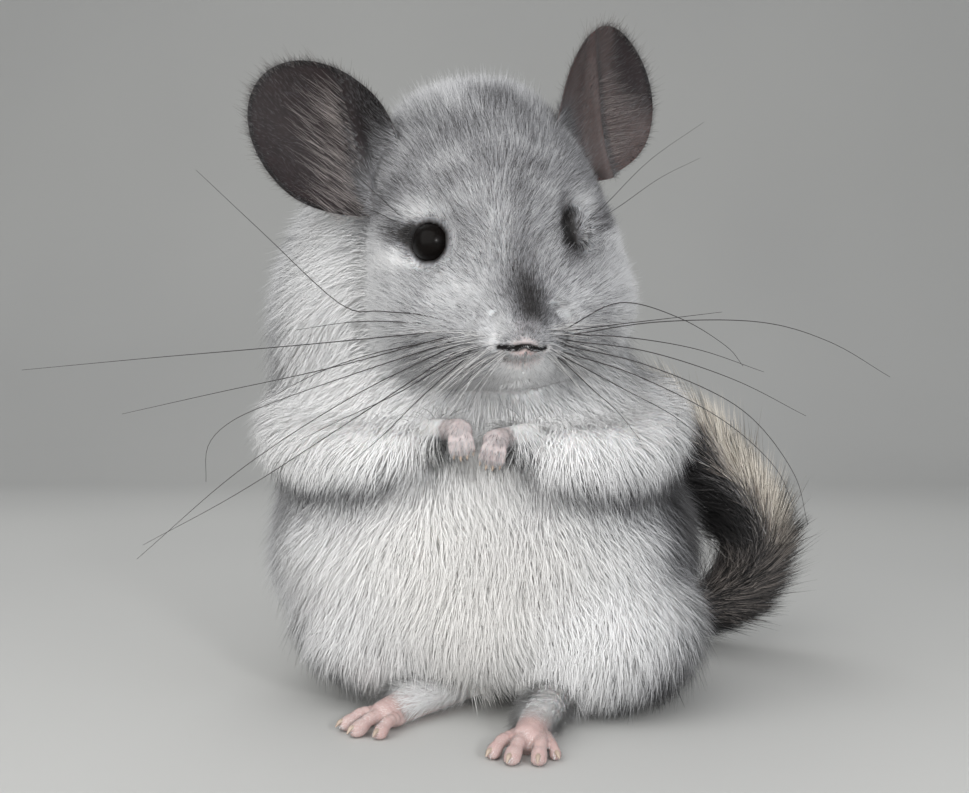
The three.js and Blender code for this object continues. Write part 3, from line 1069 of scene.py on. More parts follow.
FACE_MARKS = (
    Mark(2.6, -23.5, 4.8, 7.0, 0.44, -12),
    Mark(2.5, 6.0, 3.6, 13.0, 0.1),
    Mark(3.5, -10.0, 5.5, 8.0, 0.18),
    Mark(3.7, 41.0, 6.0, 3.5, 0.25),
    # dark beside the right eye: dark fur, and painted shadow under the brow
    Mark(-29.6, 3.4, 3.2, 3.6, 0.75, 30),
    Mark(-31.0, -6.0, 5.0, 3.0, -0.25, -20),
    Mark(33.0, 3.0, 4.5, 5.5, 0.3, -20),
    # painted shade in the recess round the left eye, which hides behind the face's fur
    Mark(19.3, -1.0, 2.9, 7.5, 0.75, 6),
    Mark(-25.5, 9.4, 6.0, 2.2, -0.2, 12),
    Mark(24.0, 9.4, 6.0, 2.2, -0.2, -12),
    Mark(-31.0, 15.0, 9.0, 3.0, 0.08, 30),
    Mark(30.0, 15.0, 9.0, 3.0, 0.08, -30),
    Mark(-18.0, -18.0, 11.0, 8.5, -0.13, 15),
    Mark(15.0, -25.0, 7.0, 6.0, -0.1),
    Mark(-8.5, -30.0, 4.0, 4.0, -0.16),
    Mark(-2.0, -41.0, 8.0, 4.0, -0.14),
)


@dataclass(frozen=True)
class Blot:
    """A soft dark patch on the trunk or a thigh, of grey fur or of painted shade: its middle, its half sizes and its
    shade.
    """

    at: tuple[float, float, float]
    size: tuple[float, float, float]
    shade: float

    def on(self, points: Array) -> Array:
        """The patch's share of darkness at places in the row's frame."""
        return self.shade * np.exp(-np.sum(((points - self.at) / self.size) ** 2, axis=1))


BODY_GREY_AND_SHADE_BLOTS = (
    # darker low on the left haunch
    Blot((-63.0, -32.0, 12.0), (18.0, 24.0, 17.0), 0.6),
    # darker low on the right haunch, partly painted shade on the side away from the key lamp
    Blot((62.0, -44.0, 8.0), (22.0, 28.0, 18.0), 0.62),
    # grey fur on the left flank
    Blot((-62.0, -12.0, 96.0), (18.0, 18.0, 18.0), 0.12),
    # grey fur on the right flank, and painted shade on the side away from the key lamp
    Blot((66.0, -16.0, 70.0), (24.0, 30.0, 60.0), 0.5),
    # painted shade over the chest
    Blot((8.0, -66.0, 66.0), (26.0, 20.0, 11.0), 0.1),
    # painted shadow in the fold between the chest and the belly
    Blot((20.0, -66.0, 52.0), (20.0, 14.0, 3.0), 0.2),
    # painted shade in the belly's cleft
    Blot((-4.5, -62.0, 20.0), (2.6, 14.0, 9.0), 0.24),
)


@dataclass
class Pelt:
    """The skin's own facts, one row or number for each of its points.

    Attributes:
        skin: The skin.
        share: How far each point belongs to each region.
        normals: The outward ways, evened.
        flow: The way the coat lies.
        length: The hairs' length, in millimetres.
        room: How far the coat may stand out from the skin, in millimetres.
        shade: 0 for white hair to 1 for black.
        warm: How creamy the hair is.
        pink: How bare and pink the skin is.
        dusk: How dark and bare the skin is, as inside the ears.
        rim: How near the ears' dark rims it is, and how deep in the painted shade on the inner side of their folds.
        deep: How dark the nostrils and ear canals are with painted shade, and how dark the lids' edges are.
        uv: The bake map's place at each triangle's corners.
    """

    skin: Surface
    share: Array
    normals: Array
    flow: Array
    length: Array
    room: Array
    shade: Array
    warm: Array
    pink: Array
    dusk: Array
    rim: Array
    deep: Array
    uv: Array | None = None

    def of(self, *regions: Region) -> Array:
        """How far each point belongs to any of the regions."""
        return sum(self.share[:, region.value] for region in regions)


@dataclass
class Grooming:
    """Works out the lie, length and colour of the coat from the body's shape."""

    body: Body

    def regions(self, nodes: dict[str, bpy.types.Object], skin: Surface) -> Array:
        """How far each point of the skin belongs to each region."""
        names = list(REGION_OF_NODE)
        owner = nearest_nodes(nodes, names, skin.points)
        number = np.array([REGION_OF_NODE[name].value for name in names])[owner]
        return skin.spread(np.eye(len(Region))[number], 7)

    def flows(self, skin: Surface, share: Array, normals: Array) -> Array:
        """The way the coat lies at each point of the skin."""
        body, points = self.body, skin.points
        local = to_frame(points, body.head)
        away = local - np.array([-1.7, -31.0, -35.9])
        face = to_row(unit(away + np.array([0, 6.0, 2.0])), body.head)
        head_at = np.array([5.0, -42.0, 150.0])
        neck = unit(unit(points - head_at) * np.array([0.8, 0.8, 0.5]) + np.array([0, 0, -0.9]))
        outward = np.sign(points[:, :1]) * ramp(np.abs(points[:, :1]), 4, 60)
        trunk = np.concatenate([outward * 0.55, np.full((len(points), 1), -0.1), np.full((len(points), 1), -1)], 1)
        arm = np.concatenate([outward * 0.4, np.full((len(points), 1), -0.35), np.full((len(points), 1), -1)], 1)
        left = points[:, :1] > 0
        toward = np.where(left, [[16.0, -70.0, -25.0]], [[-30.0, -55.0, -25.0]]) - points
        thigh = unit(toward) + np.array([0, 0, -0.4]) + outward * np.array([0.5, 0, 0])
        heads = [to_row(np.array([[0, -1.0, -0.15]]), foot.matrix()) for foot in body.feet]
        foot = np.where(points[:, :1] > -8, heads[0], heads[1])
        hand = np.tile([[0, -0.2, -1.0]], (len(points), 1))
        roots = [ear.root(body.head) for ear in body.ears]
        ear = points - np.where(points[:, :1] > 5, roots[0], roots[1])
        tail = self.body.tail.along(points)[1]
        ways = [face, neck, trunk, arm, thigh, hand, foot, ear, tail]
        total = sum(flattened(unit(way), normals) * share[:, k : k + 1] for k, way in enumerate(ways))
        for side in (-1, 1):
            centre = body.eye.centre(side, body.head)
            apart = points - centre
            near = ramp(np.linalg.norm(apart, axis=1), 14.0, 7.4)[:, None]
            total = total * (1 - near) + flattened(apart, normals) * near * 1.2
        swirl = ripple(points, 34.0, SEED + 1)[:, None] * 0.16
        return flattened(total + np.cross(normals, total) * swirl, normals)

    def lengths(self, skin: Surface, share: Array) -> Array:
        """The hairs' length at each point of the skin."""
        points = skin.points
        local = to_frame(points, self.body.head)
        from_nose = np.linalg.norm(local - MUZZLE, axis=1)
        face = 1.7 + 1.9 * ramp(from_nose, 5, 24) + 1.6 * ramp(from_nose, 24, 42)
        sides = self.cheeks(local)
        face = face + np.maximum(4.6 * sides, 7.0 * ramp(local[:, 2], 28, 46)) + 2.5 * ramp(local[:, 1], 16, 34)
        low = ramp(local[:, 2], -26, -42) * ramp(from_nose, 7, 14)
        face = face + 1.6 * low
        place, _, outside = self.body.tail.along(points)
        inner = self.body.tail.inside(place, outside)
        tail = 15 + 13 * ramp(place, 0.1, 0.6) - 8 * ramp(place, 0.85, 1.0) + 7 * inner
        instep = 1.6 + 9.0 * self.instep(points)
        lengths = [face, 12.0, 14.5, 12.0, 13.0, 3.0, instep, 3.2, tail]
        total = blended(share, lengths)
        for side in (-1, 1):
            apart = self.body.from_eye(points, side)
            total = total * (1 - (0.62 if side < 0 else 0.3) * ramp(apart, 12.5, 7.0))
        return total

    def cheeks(self, local: Array) -> Array:
        """How far each point lies on the cheeks, whose hair is longer; the points are in the head's frame."""
        return ramp(np.abs(local[:, 0] + 2), 30, 46) * ramp(local[:, 2], 16, 0)

    def instep(self, points: Array) -> Array:
        """How far each point lies behind the toes, where the feet are furred."""
        behind = [to_frame(points, foot.matrix()) for foot in self.body.feet]
        near = np.abs(behind[0][:, 0]) < np.abs(behind[1][:, 0])
        local = np.where(near[:, None], behind[0], behind[1])
        return ramp(local[:, 1], 1.0, 12.0) * ramp(local[:, 2], 2.0, 5.0)

    def shades(self, skin: Surface, share: Array) -> tuple[Array, Array]:
        """How dark and how creamy the hair is at each point of the skin.

        Args:
            skin: The skin.
            share: How far each point belongs to each region.

        Returns:
            The shade from 0 to 1, and the warmth from 0 to 1.
        """
        points = skin.points
        local = to_frame(points, self.body.head)
        x, y, z = points.T
        hx, hy, hz = local.T
        reach = np.hypot(hx - 1, hz + 8)
        upper = ramp(hz, 4, 14)
        bands = 0.035 * np.cos((reach - 28) * math.tau / 13.5) * upper * ramp(reach, 14, 22) * ramp(reach, 52, 44)
        face = 0.4 + bands + 0.05 * ramp(hz, -10, 20) - 0.2 * ramp(hz, 34, 46) - 0.16 * ramp(hz, -36, -46)
        face = face - 0.24 * ramp(np.abs(hx + 2), 26, 42) * ramp(hz, 16, 0)
        face = face + sum(mark.on(local) for mark in FACE_MARKS)
        for side in (-1, 1):
            apart = self.body.from_eye(points, side)
            inner = ramp(hx, 24, 21) if side > 0 else 1.0
            face = face + 0.4 * ramp(apart, 8.8, 7.0) * inner
        around = np.arctan2(np.abs(x), -(y - SPINE_Y))
        share = skin.spread(share, 24)
        # Painted shade in the creases: under the jaw where the head meets the neck, and under the arms where they meet
        # the trunk.
        fold = 4 * share[:, Region.HEAD.value] * share[:, Region.NECK.value] * ramp(hz, -14, -30) * ramp(hy, 16, 0)
        limbs = share[:, Region.ARM.value]
        fold = 0.1 * fold + 0.7 * limbs * share[:, Region.TRUNK.value] * ramp(z, 92, 84)
        high = ramp(z, 98, 128)
        flank = 0.03 + 0.28 * ramp(around, 0.65, 1.5) + 0.16 * ramp(around, 1.7, 2.8)
        # grey patches of fur and painted shade
        for blot in BODY_GREY_AND_SHADE_BLOTS:
            flank = flank + blot.on(points)
        neck = 0.02 + 0.12 * high + 0.28 * ramp(around, 0.9, 1.8) + 0.14 * ramp(around, 2.0, 2.8)
        # Darker on the arms' undersides: dark-tipped hair, and painted shade beneath the arm pads.
        under = ramp(unit(skin.spread(skin.normals(), 8))[:, 2], -0.25, -0.8)
        # The right arm (+X) is also darker: painted shade on the side away from the key lamp.
        arm = 0.02 + 0.14 * ramp(around, 0.7, 1.4) + 0.6 * under + 0.16 * ramp(x, 20, 60) * ramp(z, 100, 80)
        thigh = 0.03 + 0.24 * ramp(around, 0.7, 1.5)
        # grey patches of fur and painted shade
        for blot in BODY_GREY_AND_SHADE_BLOTS:
            thigh = thigh + blot.on(points)
        place, _, outside = self.body.tail.along(points)
        distal = ramp(place, 0.42, 0.58)
        # Black inside the curl: dark hair, and painted shadow between the tail and the body.
        inner = ramp(outside, 0.4, -0.15)
        low = ramp(z, 16, 5)
        tail = (0.72 + 0.26 * low) * (1 - distal) + (0.1 + 0.86 * inner) * distal
        values = [face, neck, flank, arm, thigh, 0.42, 0.02, 0.86, tail]
        # fold adds the painted crease shade
        shade = blended(share, values) + fold
        mottle = 0.025 * ripple(points, 15.0, SEED + 2) + 0.03 * ripple(points, 5.0, SEED + 3)
        shade = shade + mottle * ramp(shade, 0.02, 0.3)
        belly = ramp(around, 0.8, 0.2) * ramp(z, 120, 50) * (share[:, Region.TRUNK.value])
        brown = share[:, Region.TAIL.value] * (0.62 * distal * (1 - inner) + 0.35 * (1 - distal))
        return np.clip(shade, 0, 1), np.clip(0.14 * belly + brown + 0.03, 0, 1)

    def rooms(self, outer: Surface, skin: Surface, share: Array) -> Array:
        """How far the coat may stand out at each point of the skin."""
        torso = distances(outer, skin.points)
        local = to_frame(skin.points, self.body.head)
        from_nose = np.linalg.norm(local - MUZZLE, axis=1)
        sides = self.cheeks(local)
        face = 0.6 + 2.3 * ramp(from_nose, 6, 42) + np.maximum(4.0 * ramp(local[:, 2], 32, 46), 2.0 * sides)
        place, _, outside = self.body.tail.along(skin.points)
        stops = np.linspace(0, 1, len(self.body.tail.reach))
        tail = np.interp(place, stops, self.body.tail.reach) - np.interp(place, stops, self.body.tail.core)
        tail = tail + 13 * self.body.tail.inside(place, outside)
        rooms = [face, torso, torso, torso, torso, 0.7, 0.6 + 4.6 * self.instep(skin.points), 0.5, tail]
        return blended(share, rooms)

    def depths(self, points: Array, normals: Array, dusk: Array) -> tuple[Array, Array]:
        """Finds the ears' dark rims and the painted shade on the inner side of their folds, and the painted shade in
        the nostrils and ear canals and the lids' dark edges.

        Args:
            points: The skin's points.
            normals: The outward ways.
            dusk: How far each point belongs to an ear.

        Returns:
            The share of rim and fold shade, and the share of painted hollow shade and dark lid edge.
        """
        local = to_frame(points, self.body.head)
        rim, deep = np.zeros(len(points)), np.zeros(len(points))
        for ear in self.body.ears:
            held = to_frame(points, ear.place(self.body.head))
            near = ramp(np.abs(held[:, 1]), 26, 20)
            across = held[:, 0] / ear.wide(held[:, 2])
            edge = np.hypot(across, held[:, 2] / ear.length * 2 - 1)
            # painted shade on the inner side of the ear's fold
            medial = ramp(across * ear.side + ear.fold_line(held[:, 2]), 0.05, -0.25) * 0.8
            rim = np.maximum(rim, np.maximum(ramp(edge, 0.9, 0.98), medial) * dusk * near)
            # painted shade in the ear canal
            aside = (held[:, 0] - ear.canal[0] * ear.side) / ear.canal_size[0]
            canal = np.exp(-(aside**2) - ((held[:, 2] - ear.canal[1]) / ear.canal_size[1]) ** 2)
            deep = np.maximum(deep, canal * near * ramp(normals[:, 1], 0.1, -0.3))
        # painted shade in the nostrils
        deep = np.maximum(deep, ramp(self.body.nose.apart(local), 1.4, 0.8))
        # the lids' dark edges; at the left eye only on its nasal side, as painted shade in its recess
        for side in (-1, 1):
            inner = ramp(local[:, 0], 23, 20.5) if side > 0 else 1.0
            deep = np.maximum(deep, ramp(self.body.from_eye(points, side), 7.3, 6.6) * 0.9 * inner)
        return rim, deep

    def pelt(self, nodes: dict[str, bpy.types.Object], outer: Surface, skin: Surface) -> Pelt:
        """Gathers every fact about the coat.

        Args:
            nodes: The frame's nodes by name.
            outer: The surface at the torso coat's tips.
            skin: The closed skin.

        Returns:
            The facts, point by point.
        """
        share = self.regions(nodes, skin)
        normals = unit(skin.spread(skin.normals(), 4))
        for side in (-1, 1):
            out = skin.points - self.body.eye.centre(side, self.body.head)
            near = ramp(np.linalg.norm(out, axis=1), 7.8, 7.0)[:, None]
            normals = unit(normals * (1 - near) + unit(out) * near)
        flow = skin.spread(self.flows(skin, share, normals), 3)
        shade, warm = self.shades(skin, share)
        local = to_frame(skin.points, self.body.head)
        lip = np.exp(-(((local[:, 0] + 1.2) / 6.5) ** 2) - ((local[:, 2] + 39.5) / 3.2) ** 2)
        lip = lip * ramp(local[:, 1], -18, -24)
        pad = np.exp(-np.sum(((local - np.array(self.body.nose.pad)) / 5.0) ** 2, axis=1))
        paws = 0.42 * share[:, Region.HAND.value] + share[:, Region.FOOT.value] * (1 - 0.9 * self.instep(skin.points))
        dusk, blush = share[:, Region.EAR.value], np.zeros(len(local))
        for ear in self.body.ears:
            held = to_frame(skin.points, ear.place(self.body.head))
            blush = np.maximum(blush, ear.flush * ramp(held[:, 2], 13, 1) * ramp(np.abs(held[:, 1]), 26, 20))
        blush = blush * ramp(normals[:, 1], 0.2, -0.2) * dusk
        pink = np.clip(paws + 0.75 * lip + pad * 0.5 + blush, 0, 1)
        rim, deep = self.depths(skin.points, normals, dusk)
        room = self.rooms(outer, skin, share) + 2.2 * ramp(rim, 0.5, 0.9) * ramp(dusk, 0.6, 0.9)
        return Pelt(
            skin,
            share,
            normals,
            flattened(flow, normals),
            self.lengths(skin, share),
            skin.spread(room, 2),
            skin.spread(shade, 1),
            warm,
            pink,
            dusk * (1 - 0.55 * blush),
            rim,
            deep,
        )


# ---------------------------------------------------------------- plain meshes


def mesh_object(name: str, points: Array, triangles: Array) -> bpy.types.Object:
    """Makes a mesh object at the origin from arrays.

    Args:
        name: The object's name.
        points: Its corners, in millimetres.
        triangles: Three corner numbers for each face.

    Returns:
        The object, in the scene.
    """
    mesh = bpy.data.meshes.new(name)
    mesh.vertices.add(len(points))
    mesh.vertices.foreach_set("co", (points * MM).astype(np.float32).ravel())
    mesh.loops.add(triangles.size)
    mesh.loops.foreach_set("vertex_index", triangles.astype(np.int32).ravel())
    mesh.polygons.add(len(triangles))
    mesh.polygons.foreach_set("loop_start", np.arange(0, triangles.size, 3, dtype=np.int32))
    mesh.update(calc_edges=True)
    mesh.polygons.foreach_set("use_smooth", np.ones(len(triangles), bool))
    made = bpy.data.objects.new(name, mesh)
    bpy.context.scene.collection.objects.link(made)
    return made


def set_numbers(mesh: bpy.types.Mesh, name: str, values: Array) -> None:
    """Stores one number for each point of a mesh."""
    mesh.attributes.new(name, "FLOAT", "POINT").data.foreach_set("value", values.astype(np.float32).ravel())


def set_normals(mesh: bpy.types.Mesh, normals: Array) -> None:
    """Gives a mesh its own shading normals, one for each point."""
    held = mesh.attributes.new("custom_normal", "FLOAT_VECTOR", "POINT")
    held.data.foreach_set("vector", normals.astype(np.float32).ravel())


def set_bake_map(mesh: bpy.types.Mesh, corners: Array) -> None:
    """Gives a mesh its bake map, one place for each face corner."""
    mesh.uv_layers.new(name=BAKE_MAP).data.foreach_set("uv", corners.astype(np.float32).ravel())


def finished(piece: bpy.types.Object, material: bpy.types.Material, stands_for: Sequence[str] = ()) -> None:
    """Hands a piece to the frame: what it rides on, what it stands for, and its finish.

    Args:
        piece: The finished object.
        material: The piece's own material.
        stands_for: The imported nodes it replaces.
    """
    if not piece.data.materials:
        piece.data.materials.append(material)
    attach(piece, "root")
    if stands_for:
        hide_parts(*stands_for)
    log.info("%s: %d faces", piece.name, len(piece.data.polygons))


# ---------------------------------------------------------------- materials


def add_node(
    tree: bpy.types.NodeTree, kind: str, inputs: dict[Any, Any] | None = None, **settings: Any
) -> bpy.types.Node:
    """Adds one node to a material's or a modifier's tree.

    Args:
        tree: The tree.
        kind: Blender's name for the node.
        inputs: Values, or other nodes' output sockets, by input name or number.
        settings: The node's own properties.

    Returns:
        The node.
    """
    node = tree.nodes.new(kind)
    for name, value in settings.items():
        setattr(node, name, value)
    for name, value in (inputs or {}).items():
        if isinstance(value, bpy.types.NodeSocket):
            tree.links.new(value, node.inputs[name])
        else:
            node.inputs[name].default_value = value
    return node


@dataclass
class Graph:
    """A material's node tree while it is being built."""

    material: bpy.types.Material

    @classmethod
    def named(cls, name: str) -> "Graph":
        """Starts an empty material."""
        material = bpy.data.materials.new(name)
        material.use_nodes = True
        material.node_tree.nodes.clear()
        return cls(material)

    def add(self, kind: str, inputs: dict[Any, Any] | None = None, **settings: Any) -> bpy.types.Node:
        """Adds one node, whose kind is given without "ShaderNode"."""
        return add_node(self.material.node_tree, "ShaderNode" + kind, inputs, **settings)

    def fact(self, name: str) -> bpy.types.NodeSocket:
        """A number that the mesh holds at each of its points."""
        return self.add("Attribute", attribute_name=name).outputs["Fac"]

    def noise(self, scale: float, detail: float) -> bpy.types.NodeSocket:
        """A soft noise laid in the object's own space."""
        place = self.add("TexCoord").outputs["Object"]
        return self.add("TexNoise", {"Vector": place, "Scale": scale, "Detail": detail}).outputs[0]

    def mix(self, share: Any, one: Any, other: Any, **settings: Any) -> bpy.types.NodeSocket:
        """Mixes two colours.

        Args:
            share: The second colour's share, as a number or a socket.
            one: The first colour, as hex digits or a socket.
            other: The second colour, in the same way.
            settings: The mix node's own properties.

        Returns:
            The mixed colour's socket.
        """
        first, second = (linear(end) if isinstance(end, str) else end for end in (one, other))
        return self.add("Mix", {0: share, 6: first, 7: second}, data_type="RGBA", **settings).outputs[2]

    def shaded(self, look: dict[str, Any]) -> bpy.types.Material:
        """Ends the tree with one shader.

        Args:
            look: The shader's inputs by name.

        Returns:
            The finished material.
        """
        shader = self.add("BsdfPrincipled", look)
        self.add("OutputMaterial", {0: shader.outputs[0]})
        return self.material


@dataclass(frozen=True)
class HairColours:
    """The coat's colours from its white hairs to its black ones, and the cream that tints them."""

    white: str = "F7F7F7"
    silver: str = "CDCED0"
    slate: str = "8B8C90"
    soot: str = "3A3838"
    black: str = "1B1A1B"
    cream: str = "E9DCC6"
    tan: str = "A8927A"

    def paint(self, graph: Graph, shade: Any, warm: Any) -> bpy.types.NodeSocket:
        """Turns a shade and a warmth into a colour.

        Args:
            graph: The material's tree.
            shade: The socket that holds 0 for white to 1 for black.
            warm: The socket that holds 0 for silver to 1 for cream and tan.

        Returns:
            The colour's socket.
        """
        cool = self.stops(graph, shade, (self.white, self.silver, self.slate, self.soot, self.black))
        rich = self.stops(graph, shade, (self.cream, self.cream, self.tan, self.soot, self.black))
        return graph.mix(warm, cool, rich)

    def stops(self, graph: Graph, shade: Any, colours: Sequence[str]) -> bpy.types.NodeSocket:
        """A ramp through five colours."""
        node = graph.add("ValToRGB", {0: shade})
        band = node.color_ramp
        band.elements[0].color = linear(colours[0])
        band.elements[1].color = linear(colours[-1])
        for place, colour in zip((0.3, 0.58, 0.85), colours[1:-1]):
            band.elements.new(place).color = linear(colour)
        return node.outputs[0]


@dataclass(frozen=True)
class CoatFinish:
    """Chinchilla hair: matt and silky, each grey strand palest at its root and darkest at its tip.

    The strands' own shades give the ticked, salt-and-pepper look, and the fine noise keeps neighbours apart.
    """

    name: str
    roughness: float = 0.62
    sheen: float = 0.06
    drift: float = 0.05
    colours: HairColours = HairColours()

    def build(self) -> bpy.types.Material:
        """Makes the material."""
        graph = Graph.named(self.name)
        fine = graph.noise(620.0, 2.0)
        spread = graph.add("MapRange", {"Value": fine, "To Min": -self.drift, "To Max": self.drift})
        total = graph.add("Math", {0: graph.fact("shade"), 1: spread.outputs[0]}, operation="ADD", use_clamp=True)
        colour = self.colours.paint(graph, total.outputs[0], graph.fact("warm"))
        return graph.shaded(
            {
                "Base Color": colour,
                "Roughness": self.roughness,
                "Specular IOR Level": 0.32,
                "Sheen Weight": self.sheen,
                "Sheen Roughness": 0.4,
            }
        )


@dataclass(frozen=True)
class SkinFinish:
    """Skin under the coat: it takes the hair's colour where it is furred, so that no gap between locks shows, darkened
    a little towards grey as underfur and painted shade.

    Bare feet, fingers and lips are pink and creased, and the ears' thin skin is mauve-brown with a dark rim and
    painted shade inside its fold; the nostrils and ear canals hold painted shade.
    """

    name: str = "chinchilla skin"
    colours: HairColours = HairColours()
    pink: str = "CDB9B4"
    flush: str = "B5938F"
    mauve: str = "1D1819"
    rose: str = "2B2223"
    # the ears' dark rims, and painted shade on the inner side of their folds
    rim: str = "151213"
    # painted shade in the nostrils and ear canals, and the lids' dark edges
    hollow: str = "0E0B0B"
    # grey that darkens furred skin a little: grey underfur, and painted shade in the gaps between locks
    underfur_and_shade: str = "77736F"
    underfur_and_shade_share: float = 0.04

    def build(self) -> bpy.types.Material:
        """Makes the material."""
        graph = Graph.named(self.name)
        place = graph.add("TexCoord").outputs["Object"]
        furred = self.colours.paint(graph, graph.fact("shade"), graph.fact("warm"))
        # painted shade: furred skin darkened a little towards grey underfur
        shadow = graph.mix(self.underfur_and_shade_share, furred, self.underfur_and_shade, blend_type="MULTIPLY")
        blotch = graph.noise(260.0, 4.0)
        bare = graph.mix(blotch, self.pink, self.flush)
        # ear skin with dark rims and painted fold shade
        ear = graph.mix(graph.fact("rim"), graph.mix(blotch, self.mauve, self.rose), self.rim)
        colour = graph.mix(graph.fact("dusk"), graph.mix(graph.fact("pink"), shadow, bare), ear)
        # painted shade in nostrils and ear canals, and dark lid edges
        colour = graph.mix(graph.fact("deep"), colour, self.hollow)
        crease = graph.add("TexVoronoi", {"Vector": place, "Scale": 1100.0}, feature="DISTANCE_TO_EDGE")
        bump = graph.add("Bump", {"Height": crease.outputs[0], "Strength": 0.25, "Distance": 0.00025})
        return graph.shaded(
            {
                "Base Color": colour,
                "Roughness": 0.55,
                "Specular IOR Level": 0.2,
                "Subsurface Weight": 0.12,
                "Subsurface Radius": (0.003, 0.0012, 0.0008),
                "Subsurface Scale": 0.6,
                "Normal": bump.outputs[0],
            }
        )


@dataclass(frozen=True)
class EyeFinish:
    """A wet black eye: the cornea's clear coat mirrors the lights, over a very dark brown iris."""

    name: str = "wet eye"
    dark: str = "040303"
    iris: str = "0D0806"

    def build(self) -> bpy.types.Material:
        """Makes the material."""
        graph = Graph.named(self.name)
        colour = graph.mix(graph.noise(900.0, 3.0), self.dark, self.iris)
        return graph.shaded(
            {
                "Base Color": colour,
                "Roughness": 0.3,
                "Specular IOR Level": 0.08,
                "Coat Weight": 1.0,
                "Coat Roughness": 0.04,
                "Coat IOR": 1.07,
            }
        )


@dataclass(frozen=True)
class HornFinish:
    """Horn and bristle: a smooth, slightly glossy shaft whose colour drifts a little from place to place."""

    name: str
    base: str
    other: str
    roughness: float = 0.38

    def build(self) -> bpy.types.Material:
        """Makes the material."""
        graph = Graph.named(self.name)
        colour = graph.mix(graph.noise(140.0, 2.0), self.base, self.other)
        return graph.shaded({"Base Color": colour, "Roughness": self.roughness})


@dataclass(frozen=True)
class PaperFinish:
    """The pale, matt studio sweep."""

    name: str = "studio paper"
    light: str = "C9C9C6"
    shade: str = "C0C0BE"
    roughness: float = 0.8

    def build(self) -> bpy.types.Material:
        """Makes the material."""
        graph = Graph.named(self.name)
        colour = graph.mix(graph.noise(3.0, 1.0), self.light, self.shade)
        return graph.shaded({"Base Color": colour, "Roughness": self.roughness})


# ---------------------------------------------------------------- the coat


class Lock(Enum):
    """How many bends a strand has between its root and its tip."""

    SPIKE = 0
    BENT = 1

    @property
    def corners(self) -> int:
        """How many points the strand has."""
        return 4 if self is Lock.SPIKE else 5

    @property
    def faces(self) -> Array:
        """Its triangles, closed and facing out."""
        if self is Lock.SPIKE:
            return np.array([(2, 1, 0), (0, 1, 3), (1, 2, 3), (2, 0, 3)])
        return np.array([row for a, b in ((1, 2), (2, 3), (3, 1)) for row in ((b, a, 0), (a, b, 4))])


@dataclass(frozen=True)
class CoatPlan:
    """How one part of the coat is made.

    Attributes:
        name: The pieces' name, which a number follows where there are several.
        slot: A label for the coat; only the ear coat's label is read, to give its strands their even, dark shade.
        regions: Where it grows.
        lock: The strands' kind.
        count: How many strands there are.
        pieces: How many pieces they are shared among.
        width: A strand's width, in millimetres.
        tuft: The size of a tuft, in millimetres.
        gather: How far tips are drawn to their tuft's, from 0 to 1.
        stray: How much the strands' ways differ.
        fuzz: The share of fine hairs that stand out of the coat.
        lift: The least and greatest sine of the angle between a strand and the skin.
        lengths: The least and greatest share of the pelt's length that a strand has.
        rises: The least and greatest share of its lift that a strand has.
        widths: The least and greatest share of the width that a strand has.
        fuzz_length: How much longer the fine loose hairs are.
        fuzz_rise: How much steeper they stand.
        sway: How far whole patches of strands turn aside.
        sway_wave: How far apart such patches are, in millimetres.
        sink: How deep the roots sit in the skin, in millimetres.
        droop: How far the tips of long strands hang.
        ridge: How high a strand's back is, as a share of its half width.
        relief: How much a strand's own shape turns its shading, from 0 to 1.
        tip_relief: How far the shading at a tip leans along the strand.
        seen: How many more strands grow on the side that the photograph shows, as a share.
        bow: How much flatter a strand's outer part lies than its root part.
        clump: How many times larger than a tuft the groups of tufts are.
        clump_gather: How far tips are drawn to their group, as a share of the pull to their tuft.
        keep: How much of its root's distance from the tuft's middle a tip keeps.
        fuzz_gather: How far the fine loose hairs are gathered, as a share of the others.
    """

    name: str
    slot: str
    regions: tuple[Region, ...]
    lock: Lock
    count: int
    pieces: int
    width: float
    tuft: float
    gather: float
    stray: float
    fuzz: float
    lift: tuple[float, float]
    lengths: tuple[float, float] = (0.72, 1.12)
    rises: tuple[float, float] = (0.85, 1.1)
    widths: tuple[float, float] = (0.7, 1.3)
    fuzz_length: float = 1.15
    fuzz_rise: float = 1.3
    sway: float = 0.22
    sway_wave: float = 22.0
    sink: float = 0.5
    droop: float = 0.1
    ridge: float = 0.36
    relief: float = 0.14
    tip_relief: float = 0.15
    seen: float = 0.45
    bow: float = 0.75
    clump: float = 2.6
    clump_gather: float = 0.45
    keep: float = 0.25
    fuzz_gather: float = 0.2


